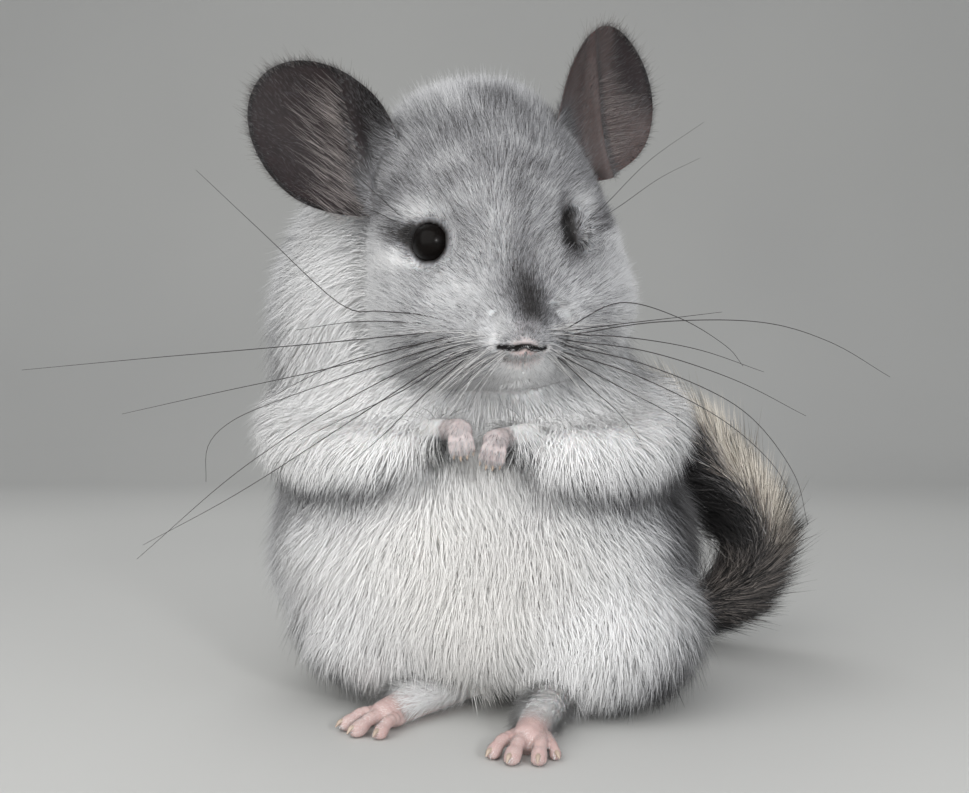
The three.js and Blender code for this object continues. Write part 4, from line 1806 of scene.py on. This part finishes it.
COATS = (
    CoatPlan(
        name="face_coat",
        slot="fur_grey",
        regions=(Region.HEAD,),
        lock=Lock.SPIKE,
        count=98000,
        pieces=2,
        width=0.2,
        tuft=2.0,
        gather=0.14,
        stray=0.26,
        fuzz=0.08,
        lift=(0.24, 0.7),
    ),
    CoatPlan(
        name="body_coat",
        slot="fur_white",
        regions=(Region.NECK, Region.TRUNK, Region.ARM, Region.THIGH),
        lock=Lock.BENT,
        count=140000,
        pieces=5,
        width=0.2,
        tuft=3.0,
        gather=0.04,
        stray=0.24,
        fuzz=0.14,
        lift=(0.24, 0.68),
    ),
    CoatPlan(
        name="tail_coat",
        slot="fur_dark",
        regions=(Region.TAIL,),
        lock=Lock.BENT,
        count=22000,
        pieces=1,
        width=0.28,
        tuft=4.5,
        gather=0.14,
        stray=0.24,
        fuzz=0.08,
        lift=(0.15, 0.8),
    ),
    CoatPlan(
        name="ear_coat",
        slot="ear_skin",
        regions=(Region.EAR,),
        lock=Lock.SPIKE,
        count=20000,
        pieces=1,
        width=0.11,
        tuft=1.5,
        gather=0.1,
        stray=0.22,
        fuzz=0.02,
        lift=(0.1, 0.5),
    ),
    CoatPlan(
        name="paw_coat",
        slot="bare_skin",
        regions=(Region.HAND, Region.FOOT),
        lock=Lock.SPIKE,
        count=14000,
        pieces=1,
        width=0.16,
        tuft=1.4,
        gather=0.2,
        stray=0.2,
        fuzz=0.0,
        lift=(0.16, 0.4),
    ),
)


@dataclass
class Strands:
    """The roots of one coat, with the pelt's facts read at each.

    Attributes:
        root: Where each strand leaves the skin.
        normal: The outward way there.
        flow: The way the coat lies there.
        length: The strand's length.
        room: How far it may stand out.
        shade: How dark it is.
        warm: How creamy it is.
        uv: Its place on the skin's bake map.
    """

    root: Array
    normal: Array
    flow: Array
    length: Array
    room: Array
    shade: Array
    warm: Array
    uv: Array

    def kept(self, keep: Array) -> "Strands":
        """The strands that a mask or an order picks."""
        return Strands(*(getattr(self, name)[keep] for name in self.__dataclass_fields__))


def scattered_cell(points: Array, size: float, seed: int) -> Array:
    """Shares points among tufts, whose centres lie one in each cell of a shaken grid.

    Args:
        points: The places.
        size: The mean distance between tufts.
        seed: Fixes the centres.

    Returns:
        The number of each place's nearest tuft.
    """
    cell = np.floor(points / size).astype(np.int64)
    best = np.full(len(points), np.inf)
    chosen = np.zeros(len(points), np.int64)
    for shift in np.ndindex(3, 3, 3):
        near = cell + np.array(shift) - 1
        mixed = near @ np.array([73856093, 19349663, 83492791]) + seed * 2654435761
        shaken = np.stack([np.modf(np.abs(np.sin(mixed % 100003 * k)) * 43758.5453)[0] for k in (1.3, 2.1, 3.7)], 1)
        apart = np.sum((points - (near + shaken) * size) ** 2, axis=1)
        closer = apart < best
        best[closer], chosen[closer] = apart[closer], mixed[closer]
    return np.unique(chosen, return_inverse=True)[1]


def mean_by(group: Array, rows: Array) -> Array:
    """Each group's mean row, handed back to every member."""
    count = np.bincount(group)
    means = np.stack([np.bincount(group, column) / count for column in rows.T], axis=1)
    return means[group]


@dataclass
class Coat:
    """One part of the coat, grown from the pelt.

    Attributes:
        plan: How it is made.
        pelt: The skin's facts.
        body: The animal's shape.
        seed: Fixes the draw.
    """

    plan: CoatPlan
    pelt: Pelt
    body: Body
    seed: int

    def rooted(self) -> Strands:
        """Draws the strands' roots evenly over the coat's regions, more of them on the side that the photo shows."""
        random = np.random.default_rng(self.seed)
        pelt, skin = self.pelt, self.pelt.skin
        corners = skin.points[skin.triangles]
        area = np.linalg.norm(np.cross(corners[:, 1] - corners[:, 0], corners[:, 2] - corners[:, 0]), axis=1) / 2
        where = ramp(pelt.of(*self.plan.regions), 0.25, 0.75)
        front = 1.0 + self.plan.seen * ramp(pelt.normals[:, 1], 0.35, -0.35)
        thick = where * front * self.density(skin.points) * ramp(pelt.deep, 0.7, 0.3)
        weight = area * thick[skin.triangles].mean(axis=1)
        total = np.cumsum(weight)
        draws = (np.arange(self.plan.count) + random.random(self.plan.count)) / self.plan.count * total[-1]
        picked = np.minimum(np.searchsorted(total, draws), len(total) - 1)
        a, b = random.random((2, self.plan.count))
        fold = a + b > 1
        a[fold], b[fold] = 1 - a[fold], 1 - b[fold]
        share = np.stack([1 - a - b, a, b], axis=1)
        ids = skin.triangles[picked]

        def read(values: Array) -> Array:
            """A fact at the drawn places."""
            rows = values[ids]
            return np.einsum("nk,nk...->n...", share, rows)

        normal = unit(read(pelt.normals))
        return Strands(
            read(skin.points),
            normal,
            flattened(read(pelt.flow), normal),
            read(pelt.length),
            read(pelt.room),
            read(pelt.shade),
            read(pelt.warm),
            np.einsum("nk,nkj->nj", share, pelt.uv[picked]),
        )

    def density(self, points: Array) -> Array:
        """How thick the coat is: thicker on the muzzle, thinner on the lip, and none in the nostrils and eyes."""
        local = to_frame(points, self.body.head)
        from_nose = np.linalg.norm(local - np.array(self.body.nose.pad), axis=1)
        thick = 1 + 1.4 * ramp(from_nose, 32, 14) + 2.2 * ramp(from_nose, 13, 8)
        lip = np.exp(-(((local[:, 0] + 1.7) / 5.5) ** 2) - ((local[:, 2] + 40.0) / 3.2) ** 2)
        thick = thick * ramp(self.body.nose.apart(local), 0.6, 1.1) * (1 - 0.35 * lip)
        for side in (-1, 1):
            thick = thick * ramp(self.body.from_eye(points, side), *self.body.eye.bare)
        return thick

    def grown(self, strands: Strands) -> tuple[Array, Array]:
        """Bends the strands outwards and along the lie of the coat.

        Args:
            strands: The roots.

        Returns:
            Each strand's stations from root to tip, and a mask of the strands that keep clear of the eyes and floor.
        """
        plan = self.plan
        random = np.random.default_rng(self.seed + 1)
        count = len(strands.root)
        fuzzy = random.random(count) < plan.fuzz
        length = strands.length * random.uniform(*plan.lengths, count) * np.where(fuzzy, plan.fuzz_length, 1)
        rise = np.clip(strands.room / np.maximum(strands.length, 0.1), *plan.lift) * random.uniform(*plan.rises, count)
        rise = np.clip(np.where(fuzzy, rise * plan.fuzz_rise, rise), 0, 0.95)
        sway = ripple(strands.root, plan.sway_wave, self.seed + 2) * plan.sway
        side = np.cross(strands.normal, strands.flow)
        aside = random.normal(0, plan.stray, count) + sway
        flow = unit(strands.flow + side * aside[:, None])
        stations = [strands.root - strands.normal * plan.sink]
        steps = plan.lock.value + 1
        place = strands.root
        for step in range(steps):
            bend = (step + 0.5) / steps - 0.5
            up = np.clip(rise * (1 - plan.bow * bend) if steps > 1 else rise, 0, 0.97)
            way = flow * np.sqrt(1 - up**2)[:, None] + strands.normal * up[:, None]
            way = unit(way + np.array([0, 0, -plan.droop]) * min(step, 1) * (strands.length > LONG_HAIR)[:, None])
            place = place + way * (length / steps)[:, None]
            stations.append(place)
        track = np.stack(stations, axis=1)
        clump = (plan.tuft * plan.clump, plan.gather * plan.clump_gather)
        for size, pull in ((plan.tuft, plan.gather), clump):
            tuft = scattered_cell(strands.root, size, self.seed)
            middle = mean_by(tuft, strands.root)
            for station in range(1, steps + 1):
                share = pull * (station / steps) ** 1.5
                target = mean_by(tuft, track[:, station]) + (strands.root - middle) * plan.keep
                loose = np.where(fuzzy, plan.fuzz_gather, 1.0)[:, None]
                track[:, station] += (target - track[:, station]) * share * loose
        clear = np.ones(count, bool)
        for eye in (-1, 1):
            clear &= (self.body.from_eye(track[:, 1:], eye) > self.body.eye.clear).all(axis=1)
        clear &= track[:, :, 2].min(axis=1) > FLOOR_GAP
        return track, clear

    def build(self, material: bpy.types.Material) -> None:
        """Makes the coat's pieces.

        Args:
            material: The hair's material.
        """
        plan = self.plan
        strands = self.rooted()
        track, clear = self.grown(strands)
        strands, track = strands.kept(clear), track[clear]
        random = np.random.default_rng(self.seed + 3)
        count = len(track)
        steps = plan.lock.value + 1
        heading = unit(track[:, -1] - track[:, 0])
        up = flattened(strands.normal, heading)
        side = np.cross(heading, up)
        wide = plan.width * random.uniform(*plan.widths, count) / 2
        wide = wide * np.clip(strands.length / LONG_HAIR, 0.75, 1) if plan.lock is Lock.BENT else wide
        ring = plan.lock.value
        points, normals, along = [], [], []
        if plan.lock is not Lock.SPIKE:
            points.append(track[:, 0])
            normals.append(strands.normal)
            along.append(0.0)
        for way in (up * plan.ridge, side, -side):
            points.append(track[:, ring] + way * wide[:, None])
            normals.append(unit(unit(way) * plan.relief + strands.normal))
            along.append(ring / steps)
        points.append(track[:, -1])
        normals.append(unit(strands.normal + heading * plan.tip_relief))
        along.append(1.0)
        tone = random.normal(0, 0.5, count)
        dark = random.random(count)
        shade = self.ticked(strands.shade, tone, dark, np.array(along))
        warm = np.repeat(strands.warm[:, None], len(along), axis=1)
        grid = np.stack([np.linspace(-0.5, 0.5, len(along)), np.array(along) - 0.5], axis=1) * PATCH
        order = np.argsort(self.sort_key(strands.root), kind="stable")
        points, normals = np.stack(points, axis=1), np.stack(normals, axis=1)
        for number, chosen in enumerate(np.array_split(order, plan.pieces)):
            name = plan.name if plan.pieces == 1 else f"{plan.name}_{number + 1}"
            faces = (plan.lock.faces[None] + np.arange(len(chosen))[:, None, None] * plan.lock.corners).reshape(-1, 3)
            piece = mesh_object(name, points[chosen].reshape(-1, 3), faces)
            set_numbers(piece.data, "shade", shade[chosen])
            set_numbers(piece.data, "warm", warm[chosen])
            set_normals(piece.data, normals[chosen].reshape(-1, 3))
            places = (strands.uv[chosen][:, None] + grid[None]).reshape(-1, 2)
            set_bake_map(piece.data, places[faces.ravel()])
            finished(piece, material)

    def sort_key(self, root: Array) -> Array:
        """Orders the strands, so that each piece is one stretch of the coat: round the trunk, or from side to side."""
        if self.plan.name == "body_coat":
            return np.arctan2(root[:, 0], -(root[:, 1] - SPINE_Y))
        return root[:, 0]

    def ticked(self, shade: Array, tone: Array, dark: Array, along: Array) -> Array:
        """Each strand's shade at each of its points: some strands are dark, and most darken to the tip.

        Args:
            shade: The pelt's shade at the roots.
            tone: A random tone for each strand.
            dark: A random draw that picks the dark strands.
            along: How far along a strand its points are.

        Returns:
            One row for each strand and one column for each point.
        """
        rate = ramp(shade, 0.05, 0.45)
        if self.plan.slot == "ear_skin":
            even = np.clip(shade[:, None] + tone[:, None] * 0.2, 0.72, 1.0)
            return np.repeat(even, len(along), axis=1)
        pepper = (dark < 0.3 * rate)[:, None] * 0.3
        base = shade[:, None] * (0.82 + 0.5 * along[None] ** 2)
        return np.clip(base + tone[:, None] * (0.05 + 0.1 * rate[:, None]) + pepper, 0, 1)


# ---------------------------------------------------------------- strokes drawn by Geometry Nodes


@dataclass(frozen=True)
class Stroke:
    """Tapered round strokes along paths, for bristles and claws.

    Attributes:
        thickness: The radius at the root, in millimetres.
        taper: The power by which the radius falls to the tip.
        tip: The radius left at the tip, as a share of the root's.
        sides: How many sides a stroke has.
        steps: How many points are read off each path.
    """

    thickness: float
    taper: float
    tip: float
    sides: int
    steps: int

    def tree(self, material: bpy.types.Material) -> bpy.types.NodeTree:
        """Builds the node tree: paths become curves, which become closed tapered tubes."""
        tree = bpy.data.node_groups.new("tapered strokes", "GeometryNodeTree")
        face = tree.interface
        face.new_socket("Geometry", in_out="INPUT", socket_type="NodeSocketGeometry")
        kinds = {"Thickness": "Float", "Taper": "Float", "Tip": "Float", "Sides": "Int", "Steps": "Int"}
        for name, kind in kinds.items():
            face.new_socket(name, in_out="INPUT", socket_type="NodeSocket" + kind)
        face.new_socket("Geometry", in_out="OUTPUT", socket_type="NodeSocketGeometry")

        add = partial(add_node, tree)
        given = add("NodeGroupInput")
        line = add("GeometryNodeMeshToCurve", {0: given.outputs["Geometry"]})
        even = add("GeometryNodeResampleCurve", {"Curve": line.outputs[0], "Count": given.outputs["Steps"]})
        share = add("GeometryNodeSplineParameter").outputs["Factor"]
        power = add("ShaderNodeMath", {0: share, 1: given.outputs["Taper"]}, operation="POWER")
        sized = add("ShaderNodeMapRange", {"Value": power.outputs[0], "To Min": 1.0, "To Max": given.outputs["Tip"]})
        ring = add(
            "GeometryNodeCurvePrimitiveCircle",
            {"Resolution": given.outputs["Sides"], "Radius": given.outputs["Thickness"]},
        )
        tube = add(
            "GeometryNodeCurveToMesh",
            {"Curve": even.outputs[0], "Profile Curve": ring.outputs[0], "Scale": sized.outputs[0], "Fill Caps": True},
        )
        smooth = add("GeometryNodeSetShadeSmooth", {0: tube.outputs[0]})
        real = add("GeometryNodeRealizeInstances", {0: smooth.outputs[0]})
        dressed = add("GeometryNodeSetMaterial", {0: real.outputs[0], "Material": material})
        add("NodeGroupOutput", {0: dressed.outputs[0]})
        return tree

    def draw(self, name: str, paths: Sequence[Array], material: bpy.types.Material) -> bpy.types.Object:
        """Draws strokes along paths, as one plain mesh.

        Args:
            name: The piece's name.
            paths: The strokes' paths, each in millimetres from root to tip.
            material: The strokes' material.

        Returns:
            The piece.
        """
        mesh = bpy.data.meshes.new(name)
        edges, start = [], 0
        for path in paths:
            edges += [(start + k, start + k + 1) for k in range(len(path) - 1)]
            start += len(path)
        mesh.from_pydata(np.concatenate(paths) * MM, edges, [])
        made = bpy.data.objects.new(name, mesh)
        bpy.context.scene.collection.objects.link(made)
        step = made.modifiers.new("strokes", "NODES")
        step.node_group = self.tree(material)
        values = {
            "Thickness": self.thickness * MM,
            "Taper": self.taper,
            "Tip": self.tip,
            "Sides": self.sides,
            "Steps": self.steps,
        }
        for item in step.node_group.interface.items_tree:
            if item.in_out == "INPUT" and item.name in values:
                step[item.identifier] = values[item.name]
        graph = bpy.context.evaluated_depsgraph_get()
        plain = bpy.data.meshes.new_from_object(made.evaluated_get(graph))
        made.modifiers.clear()
        made.data = plain
        return made


# ---------------------------------------------------------------- the pieces beside the coat


@dataclass
class Skin:
    """The piece that stands for all the flesh."""

    pelt: Pelt
    body: Body
    stands_for: tuple[str, ...] = tuple(name for name in REGION_OF_NODE if not name.startswith("eye"))

    def unwrapped(self) -> bpy.types.Object:
        """Makes the skin's mesh and unwraps its own shape, and keeps the map for the coat's roots."""
        skin = self.pelt.skin
        made = mesh_object("skin", skin.points, skin.triangles)
        bpy.context.view_layer.objects.active = made
        made.select_set(True)
        bpy.ops.object.mode_set(mode="EDIT")
        bpy.ops.mesh.select_all(action="SELECT")
        bpy.ops.uv.smart_project(angle_limit=math.radians(66), island_margin=0.002)
        bpy.ops.object.mode_set(mode="OBJECT")
        made.select_set(False)
        layer = made.data.uv_layers[0]
        layer.name = BAKE_MAP
        places = np.empty(len(layer.data) * 2, np.float32)
        layer.data.foreach_get("uv", places)
        self.pelt.uv = places.reshape(-1, 3, 2).astype(float)
        return made

    def build(self) -> None:
        """Makes the skin and hands it over."""
        made = self.unwrapped()
        for name in ("shade", "warm", "pink", "dusk", "rim", "deep"):
            set_numbers(made.data, name, getattr(self.pelt, name))
        finished(made, SkinFinish().build(), self.stands_for)


@dataclass(frozen=True)
class Eyes:
    """Two glossy eyeballs, each in its own socket."""

    body: Body
    rings: int = 40
    spokes: int = 56

    def build(self) -> None:
        """Makes both eyes."""
        material = EyeFinish().build()
        for side, name in ((1, "eye_left"), (-1, "eye_right")):
            ball = sphere_points(self.rings, self.spokes) * self.body.eye.radius
            points = ball + self.body.eye.centre(side, self.body.head)
            made = mesh_object(f"{name}_ball", points, sphere_triangles(self.rings, self.spokes))
            finished(made, material, (name,))


@dataclass(frozen=True)
class Claws:
    """Small blunt claws, one at each finger and toe."""

    body: Body
    hind: Stroke = Stroke(0.95, 1.6, 0.16, 10, 9)
    front: Stroke = Stroke(0.55, 1.5, 0.18, 8, 8)

    def build(self) -> None:
        """Makes the claws of all four feet."""
        material = HornFinish("pale claw", "C9B7A6", "8E7C6E").build()
        hind = [path for foot in self.body.feet for path in foot.claws()]
        front = [path for hand in self.body.hands for path in hand.claws()]
        finished(self.hind.draw("hind_claws", hind, material), material)
        finished(self.front.draw("front_claws", front, material), material)


@dataclass(frozen=True)
class Whisker:
    """One whisker, placed where the photograph shows it.

    Attributes:
        seen: Its stops in the photograph's pixels, from its root to its tip.
        root_y: Its root's depth.
        tip_y: Its tip's depth.
    """

    seen: tuple[tuple[float, float], ...]
    root_y: float = -70.0
    tip_y: float = -58.0

    def path(self, skin: BVHTree) -> Array:
        """The whisker's smooth path, in millimetres, rooted on the skin."""
        depths = np.linspace(self.root_y, self.tip_y, len(self.seen))
        path = smooth_path([VIEW.place(x, z, y) for (x, z), y in zip(self.seen, depths)], 26)
        root = np.array(skin.find_nearest(path[0])[0])
        fade = (1 - np.linspace(0, 1, len(path))) ** 5
        return path + (root - path[0]) * fade[:, None]


RIGHT_WHISKERS = (
    Whisker(((452, 322), (418, 314), (380, 311), (340, 304), (262, 232), (196, 170)), -70, -56),
    Whisker(((450, 330), (300, 345), (150, 358), (22, 370)), -70, -50),
    Whisker(((448, 336), (330, 368), (220, 392), (122, 414)), -70, -54),
    Whisker(((452, 342), (360, 372), (280, 400), (232, 421), (208, 446), (206, 482)), -70, -66),
    Whisker(((450, 348), (350, 398), (240, 470), (137, 559)), -70, -66),
    Whisker(((455, 352), (352, 420), (240, 492), (143, 545)), -70, -62),
    Whisker(((458, 356), (400, 392), (345, 418), (300, 440)), -71, -68),
    Whisker(((446, 326), (400, 322), (352, 322), (296, 330)), -69, -54),
    Whisker(((460, 360), (420, 398), (382, 436), (352, 462)), -72, -74),
    Whisker(((449, 339), (380, 352), (320, 372), (262, 402)), -69, -60),
)
LEFT_WHISKERS = (
    Whisker(((574, 330), (620, 324), (672, 318), (722, 312)), -68, -54),
    Whisker(((574, 336), (660, 322), (760, 322), (830, 342), (890, 377)), -68, -50),
    Whisker(((572, 328), (622, 302), (680, 318), (726, 346), (743, 366)), -68, -56),
    Whisker(((576, 342), (650, 352), (735, 380), (806, 416)), -68, -56),
    Whisker(((574, 348), (650, 366), (740, 408), (792, 470), (808, 525)), -68, -62),
    Whisker(((572, 352), (640, 376), (720, 418), (774, 466), (796, 512)), -68, -64),
    Whisker(((570, 356), (620, 386), (674, 416), (706, 444), (719, 466)), -69, -66),
    Whisker(((568, 360), (592, 388), (618, 412), (640, 440)), -70, -70),
    Whisker(((576, 334), (634, 338), (700, 350), (764, 372)), -68, -56),
)
BROW_WHISKERS = (
    Whisker(((586, 222), (606, 204), (650, 160), (704, 122)), -56, -48),
    Whisker(((588, 226), (620, 206), (660, 178), (700, 158)), -56, -48),
    Whisker(((398, 216), (378, 196), (352, 172), (318, 152)), -58, -52),
    Whisker(((396, 222), (366, 208), (330, 196), (290, 190)), -58, -52),
)


@dataclass(frozen=True)
class Whiskers:
    """The black whiskers of each side, the fine ones over the eyes, and the short ones that fan from the lips."""

    pelt: Pelt
    body: Body
    long: Stroke = Stroke(0.22, 1.0, 0.3, 6, 44)
    fine: Stroke = Stroke(0.12, 1.0, 0.35, 5, 26)
    short: Stroke = Stroke(0.06, 1.0, 0.3, 4, 9)
    fanned: int = 84

    def build(self) -> None:
        """Makes the whiskers."""
        material = HornFinish("black bristle", "141213", "2B2626", 0.45).build()
        skin = BVHTree.FromPolygons(self.pelt.skin.points.tolist(), self.pelt.skin.triangles.tolist())
        for name, whiskers in (("whiskers_left", LEFT_WHISKERS), ("whiskers_right", RIGHT_WHISKERS)):
            made = self.long.draw(f"{name}_long", [whisker.path(skin) for whisker in whiskers], material)
            finished(made, material, (name,))
        made = self.fine.draw("brow_whiskers", [whisker.path(skin) for whisker in BROW_WHISKERS], material)
        finished(made, material)
        pale = HornFinish("white bristle", "E4E3E2", "C4C2C1", 0.5).build()
        paths = self.fan(skin)
        finished(self.short.draw("lip_bristles_dark", paths[::3], material), material)
        finished(self.short.draw("lip_bristles_white", paths[1::3] + paths[2::3], pale), pale)

    def fan(self, skin: BVHTree) -> list[Array]:
        """Short bristles that sweep back and down from both whisker pads."""
        random = np.random.default_rng(SEED + 7)
        share = np.linspace(0, 1, 10)[:, None]
        paths = []
        for side in (-1, 1):
            for _ in range(self.fanned):
                row, file = random.random(2)
                start = np.array([side * (7.5 + 8.5 * file) - 1.2, -26 + 10 * file, -29.5 - 11 * row])
                rise = math.radians(12 - 62 * row + random.normal(0, 9))
                length = random.uniform(9, 30) * (0.6 + 0.6 * file)
                way = np.array([side * math.cos(rise), 0.2 + 0.3 * random.random(), math.sin(rise)])
                drop = np.array([0, 0, -0.16 * length]) * share**2
                path = from_frame(start + way * length * share + drop, self.body.head)
                root, normal = skin.find_nearest(path[0])[:2]
                shift = np.array(root) - path[0]
                paths.append(path + shift + np.array(normal) * 1.6 * share)
        return paths


@dataclass(frozen=True)
class EarPlumes:
    """Long pale hairs that cross the ear's hollow from the fold beside the crown, and the rim's fine fringe."""

    body: Body
    hair: Stroke = Stroke(0.034, 1.0, 0.25, 3, 9)
    edge: Stroke = Stroke(0.055, 1.0, 0.25, 3, 4)
    count: int = 380
    edged: int = 520

    def build(self) -> None:
        """Makes the plumes of both ears."""
        pale = HornFinish("pale ear hair", "C9C1BD", "938A88", 0.5).build()
        paths, fringe = [], []
        for ear in self.body.ears:
            paths += self.paths(ear)
            fringe += self.fringe(ear)
        finished(self.hair.draw("ear_plumes", paths, pale), pale)
        grey = HornFinish("grey ear fringe", "857F7C", "55504E", 0.5).build()
        finished(self.edge.draw("ear_fringe", fringe, grey), grey)

    def paths(self, ear: EarShape) -> list[Array]:
        """One ear's hairs, from the fold outwards, lying just over the hollow."""
        random = np.random.default_rng(SEED + 40 + ear.side)
        share = np.linspace(0, 1, 10)
        paths = []
        for _ in range(self.count):
            height = 3 + 34 * random.random()
            start = -ear.side * (ear.fold_line(height) - 0.06 - 0.8 * random.random() ** 2)
            length = random.uniform(7, 15)
            rise = math.radians(random.normal(ear.comb, 6))
            z = height + math.sin(rise) * length * share
            x = start * ear.wide(np.array(height)) + ear.side * math.cos(rise) * length * share
            if np.hypot(x[-1] / ear.wide(z[-1]), z[-1] / ear.length * 2 - 1) > 0.93:
                continue
            y = ear.depth(x / ear.wide(z), z) - 0.7 - 1.1 * share * (1 - 0.45 * share)
            local = np.stack([x, y, z], axis=1)
            paths.append(from_frame(local, ear.place(self.body.head)))
        return paths

    def fringe(self, ear: EarShape) -> list[Array]:
        """One ear's fine hairs that stand out all round its rim, longest at the tip."""
        random = np.random.default_rng(SEED + 60 + ear.side)
        share = np.linspace(0, 1, 5)[:, None]
        paths = []
        for _ in range(self.edged):
            polar, edge = random.uniform(-2.5, 2.5), random.uniform(0.9, 0.99)
            height = (math.cos(polar) * edge + 1) / 2 * ear.length
            across = math.sin(polar) * edge
            wide = float(ear.wide(np.array(height)))
            root = np.array([across * wide, float(ear.depth(np.array(across), np.array(height))), height])
            out = unit(np.array([across * wide, 0, height - ear.length * 0.42]))
            length = random.uniform(1.6, 2.8) + 2.4 * random.random() * ramp(np.array(math.cos(polar)), -0.2, 0.8)
            way = out + random.normal(0, 0.28, 3) * np.array([1, 1.4, 1])
            bend = np.array([0, random.normal(0, 0.2), 0.25])
            local = root + (way * share + bend * share**2) * length
            paths.append(from_frame(local, ear.place(self.body.head)))
        return paths


# ---------------------------------------------------------------- the studio


@dataclass(frozen=True)
class Sweep:
    """A pale floor that curves up into a pale wall far behind the animal."""

    half_width: float = 2200.0
    front: float = -900.0
    back: float = 900.0
    bend: float = 500.0
    height: float = 1900.0

    def build(self) -> None:
        """Makes the sweep."""
        turn = np.linspace(0, math.pi / 2, 25)
        curve = [(self.back + math.sin(a) * self.bend, self.bend * (1 - math.cos(a))) for a in turn]
        line = [(self.front, 0.0), (0.0, 0.0), *curve, (self.back + self.bend, self.height)]
        points = np.array([(x, y, z) for y, z in line for x in (-self.half_width, self.half_width)])
        faces = []
        for row in range(len(line) - 1):
            a = row * 2
            faces += [(a, a + 1, a + 3), (a, a + 3, a + 2)]
        made = mesh_object("studio_sweep", points, np.array(faces))
        made.data.materials.append(PaperFinish().build())


@dataclass(frozen=True)
class Lamp:
    """A soft square light that faces the animal.

    Attributes:
        name: Its name.
        at: Where it is, in millimetres.
        size: Its side, in millimetres.
        power: Its power in watts.
        tint: Its colour.
    """

    name: str
    at: tuple[float, float, float]
    size: float
    power: float
    tint: str = "FFFFFF"

    def build(self) -> None:
        """Makes the light."""
        data = bpy.data.lights.new(self.name, "AREA")
        data.size = self.size * MM
        data.energy = self.power
        data.color = linear(self.tint)[:3]
        lamp = bpy.data.objects.new(self.name, data)
        lamp.location = Vector(self.at) * MM
        aim = Vector((0, 0, 90)) - Vector(self.at)
        lamp.rotation_euler = aim.to_track_quat("-Z", "Y").to_euler()
        bpy.context.scene.collection.objects.link(lamp)


LAMPS = (
    Lamp("key", (-420, -700, 520), 1250, 9.0, "FFFEFC"),
    Lamp("fill", (600, -700, 420), 700, 1.1, "F8FAFF"),
    Lamp("catch", (230, -600, 240), 70, 1.4, "FFFFFF"),
    Lamp("back", (-150, 700, 800), 600, 1.6, "FFFFFF"),
)


@dataclass(frozen=True)
class Studio:
    """The sweep, the lights and the sky's even glow."""

    sky: str = "E9EBEE"
    strength: float = 0.5

    def build(self) -> None:
        """Makes the studio."""
        Sweep().build()
        for lamp in LAMPS:
            lamp.build()
        world = bpy.data.worlds.new("even light")
        world.use_nodes = True
        glow = world.node_tree.nodes["Background"]
        glow.inputs[0].default_value = linear(self.sky)
        glow.inputs[1].default_value = self.strength
        bpy.context.scene.world = world
        bpy.context.scene.view_settings.view_transform = "Standard"


# ---------------------------------------------------------------- the whole animal


def main() -> None:
    """Builds the studio and every piece of the chinchilla."""
    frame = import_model()
    VIEW.build()
    Studio().build()
    body = Body()
    outer, surface = body.build(frame["nodes"])
    log.info("skin: %d triangles", len(surface.triangles))
    pelt = Grooming(body).pelt(frame["nodes"], outer, surface)
    Skin(pelt, body).build()
    Eyes(body).build()
    Claws(body).build()
    Whiskers(pelt, body).build()
    EarPlumes(body).build()
    hair = CoatFinish("ticked chinchilla hair").build()
    for number, plan in enumerate(COATS):
        Coat(plan, pelt, body, SEED + 10 * number).build(hair)


if __name__ == "__main__":
    logging.basicConfig(level=logging.INFO, format="%(message)s")
    main()
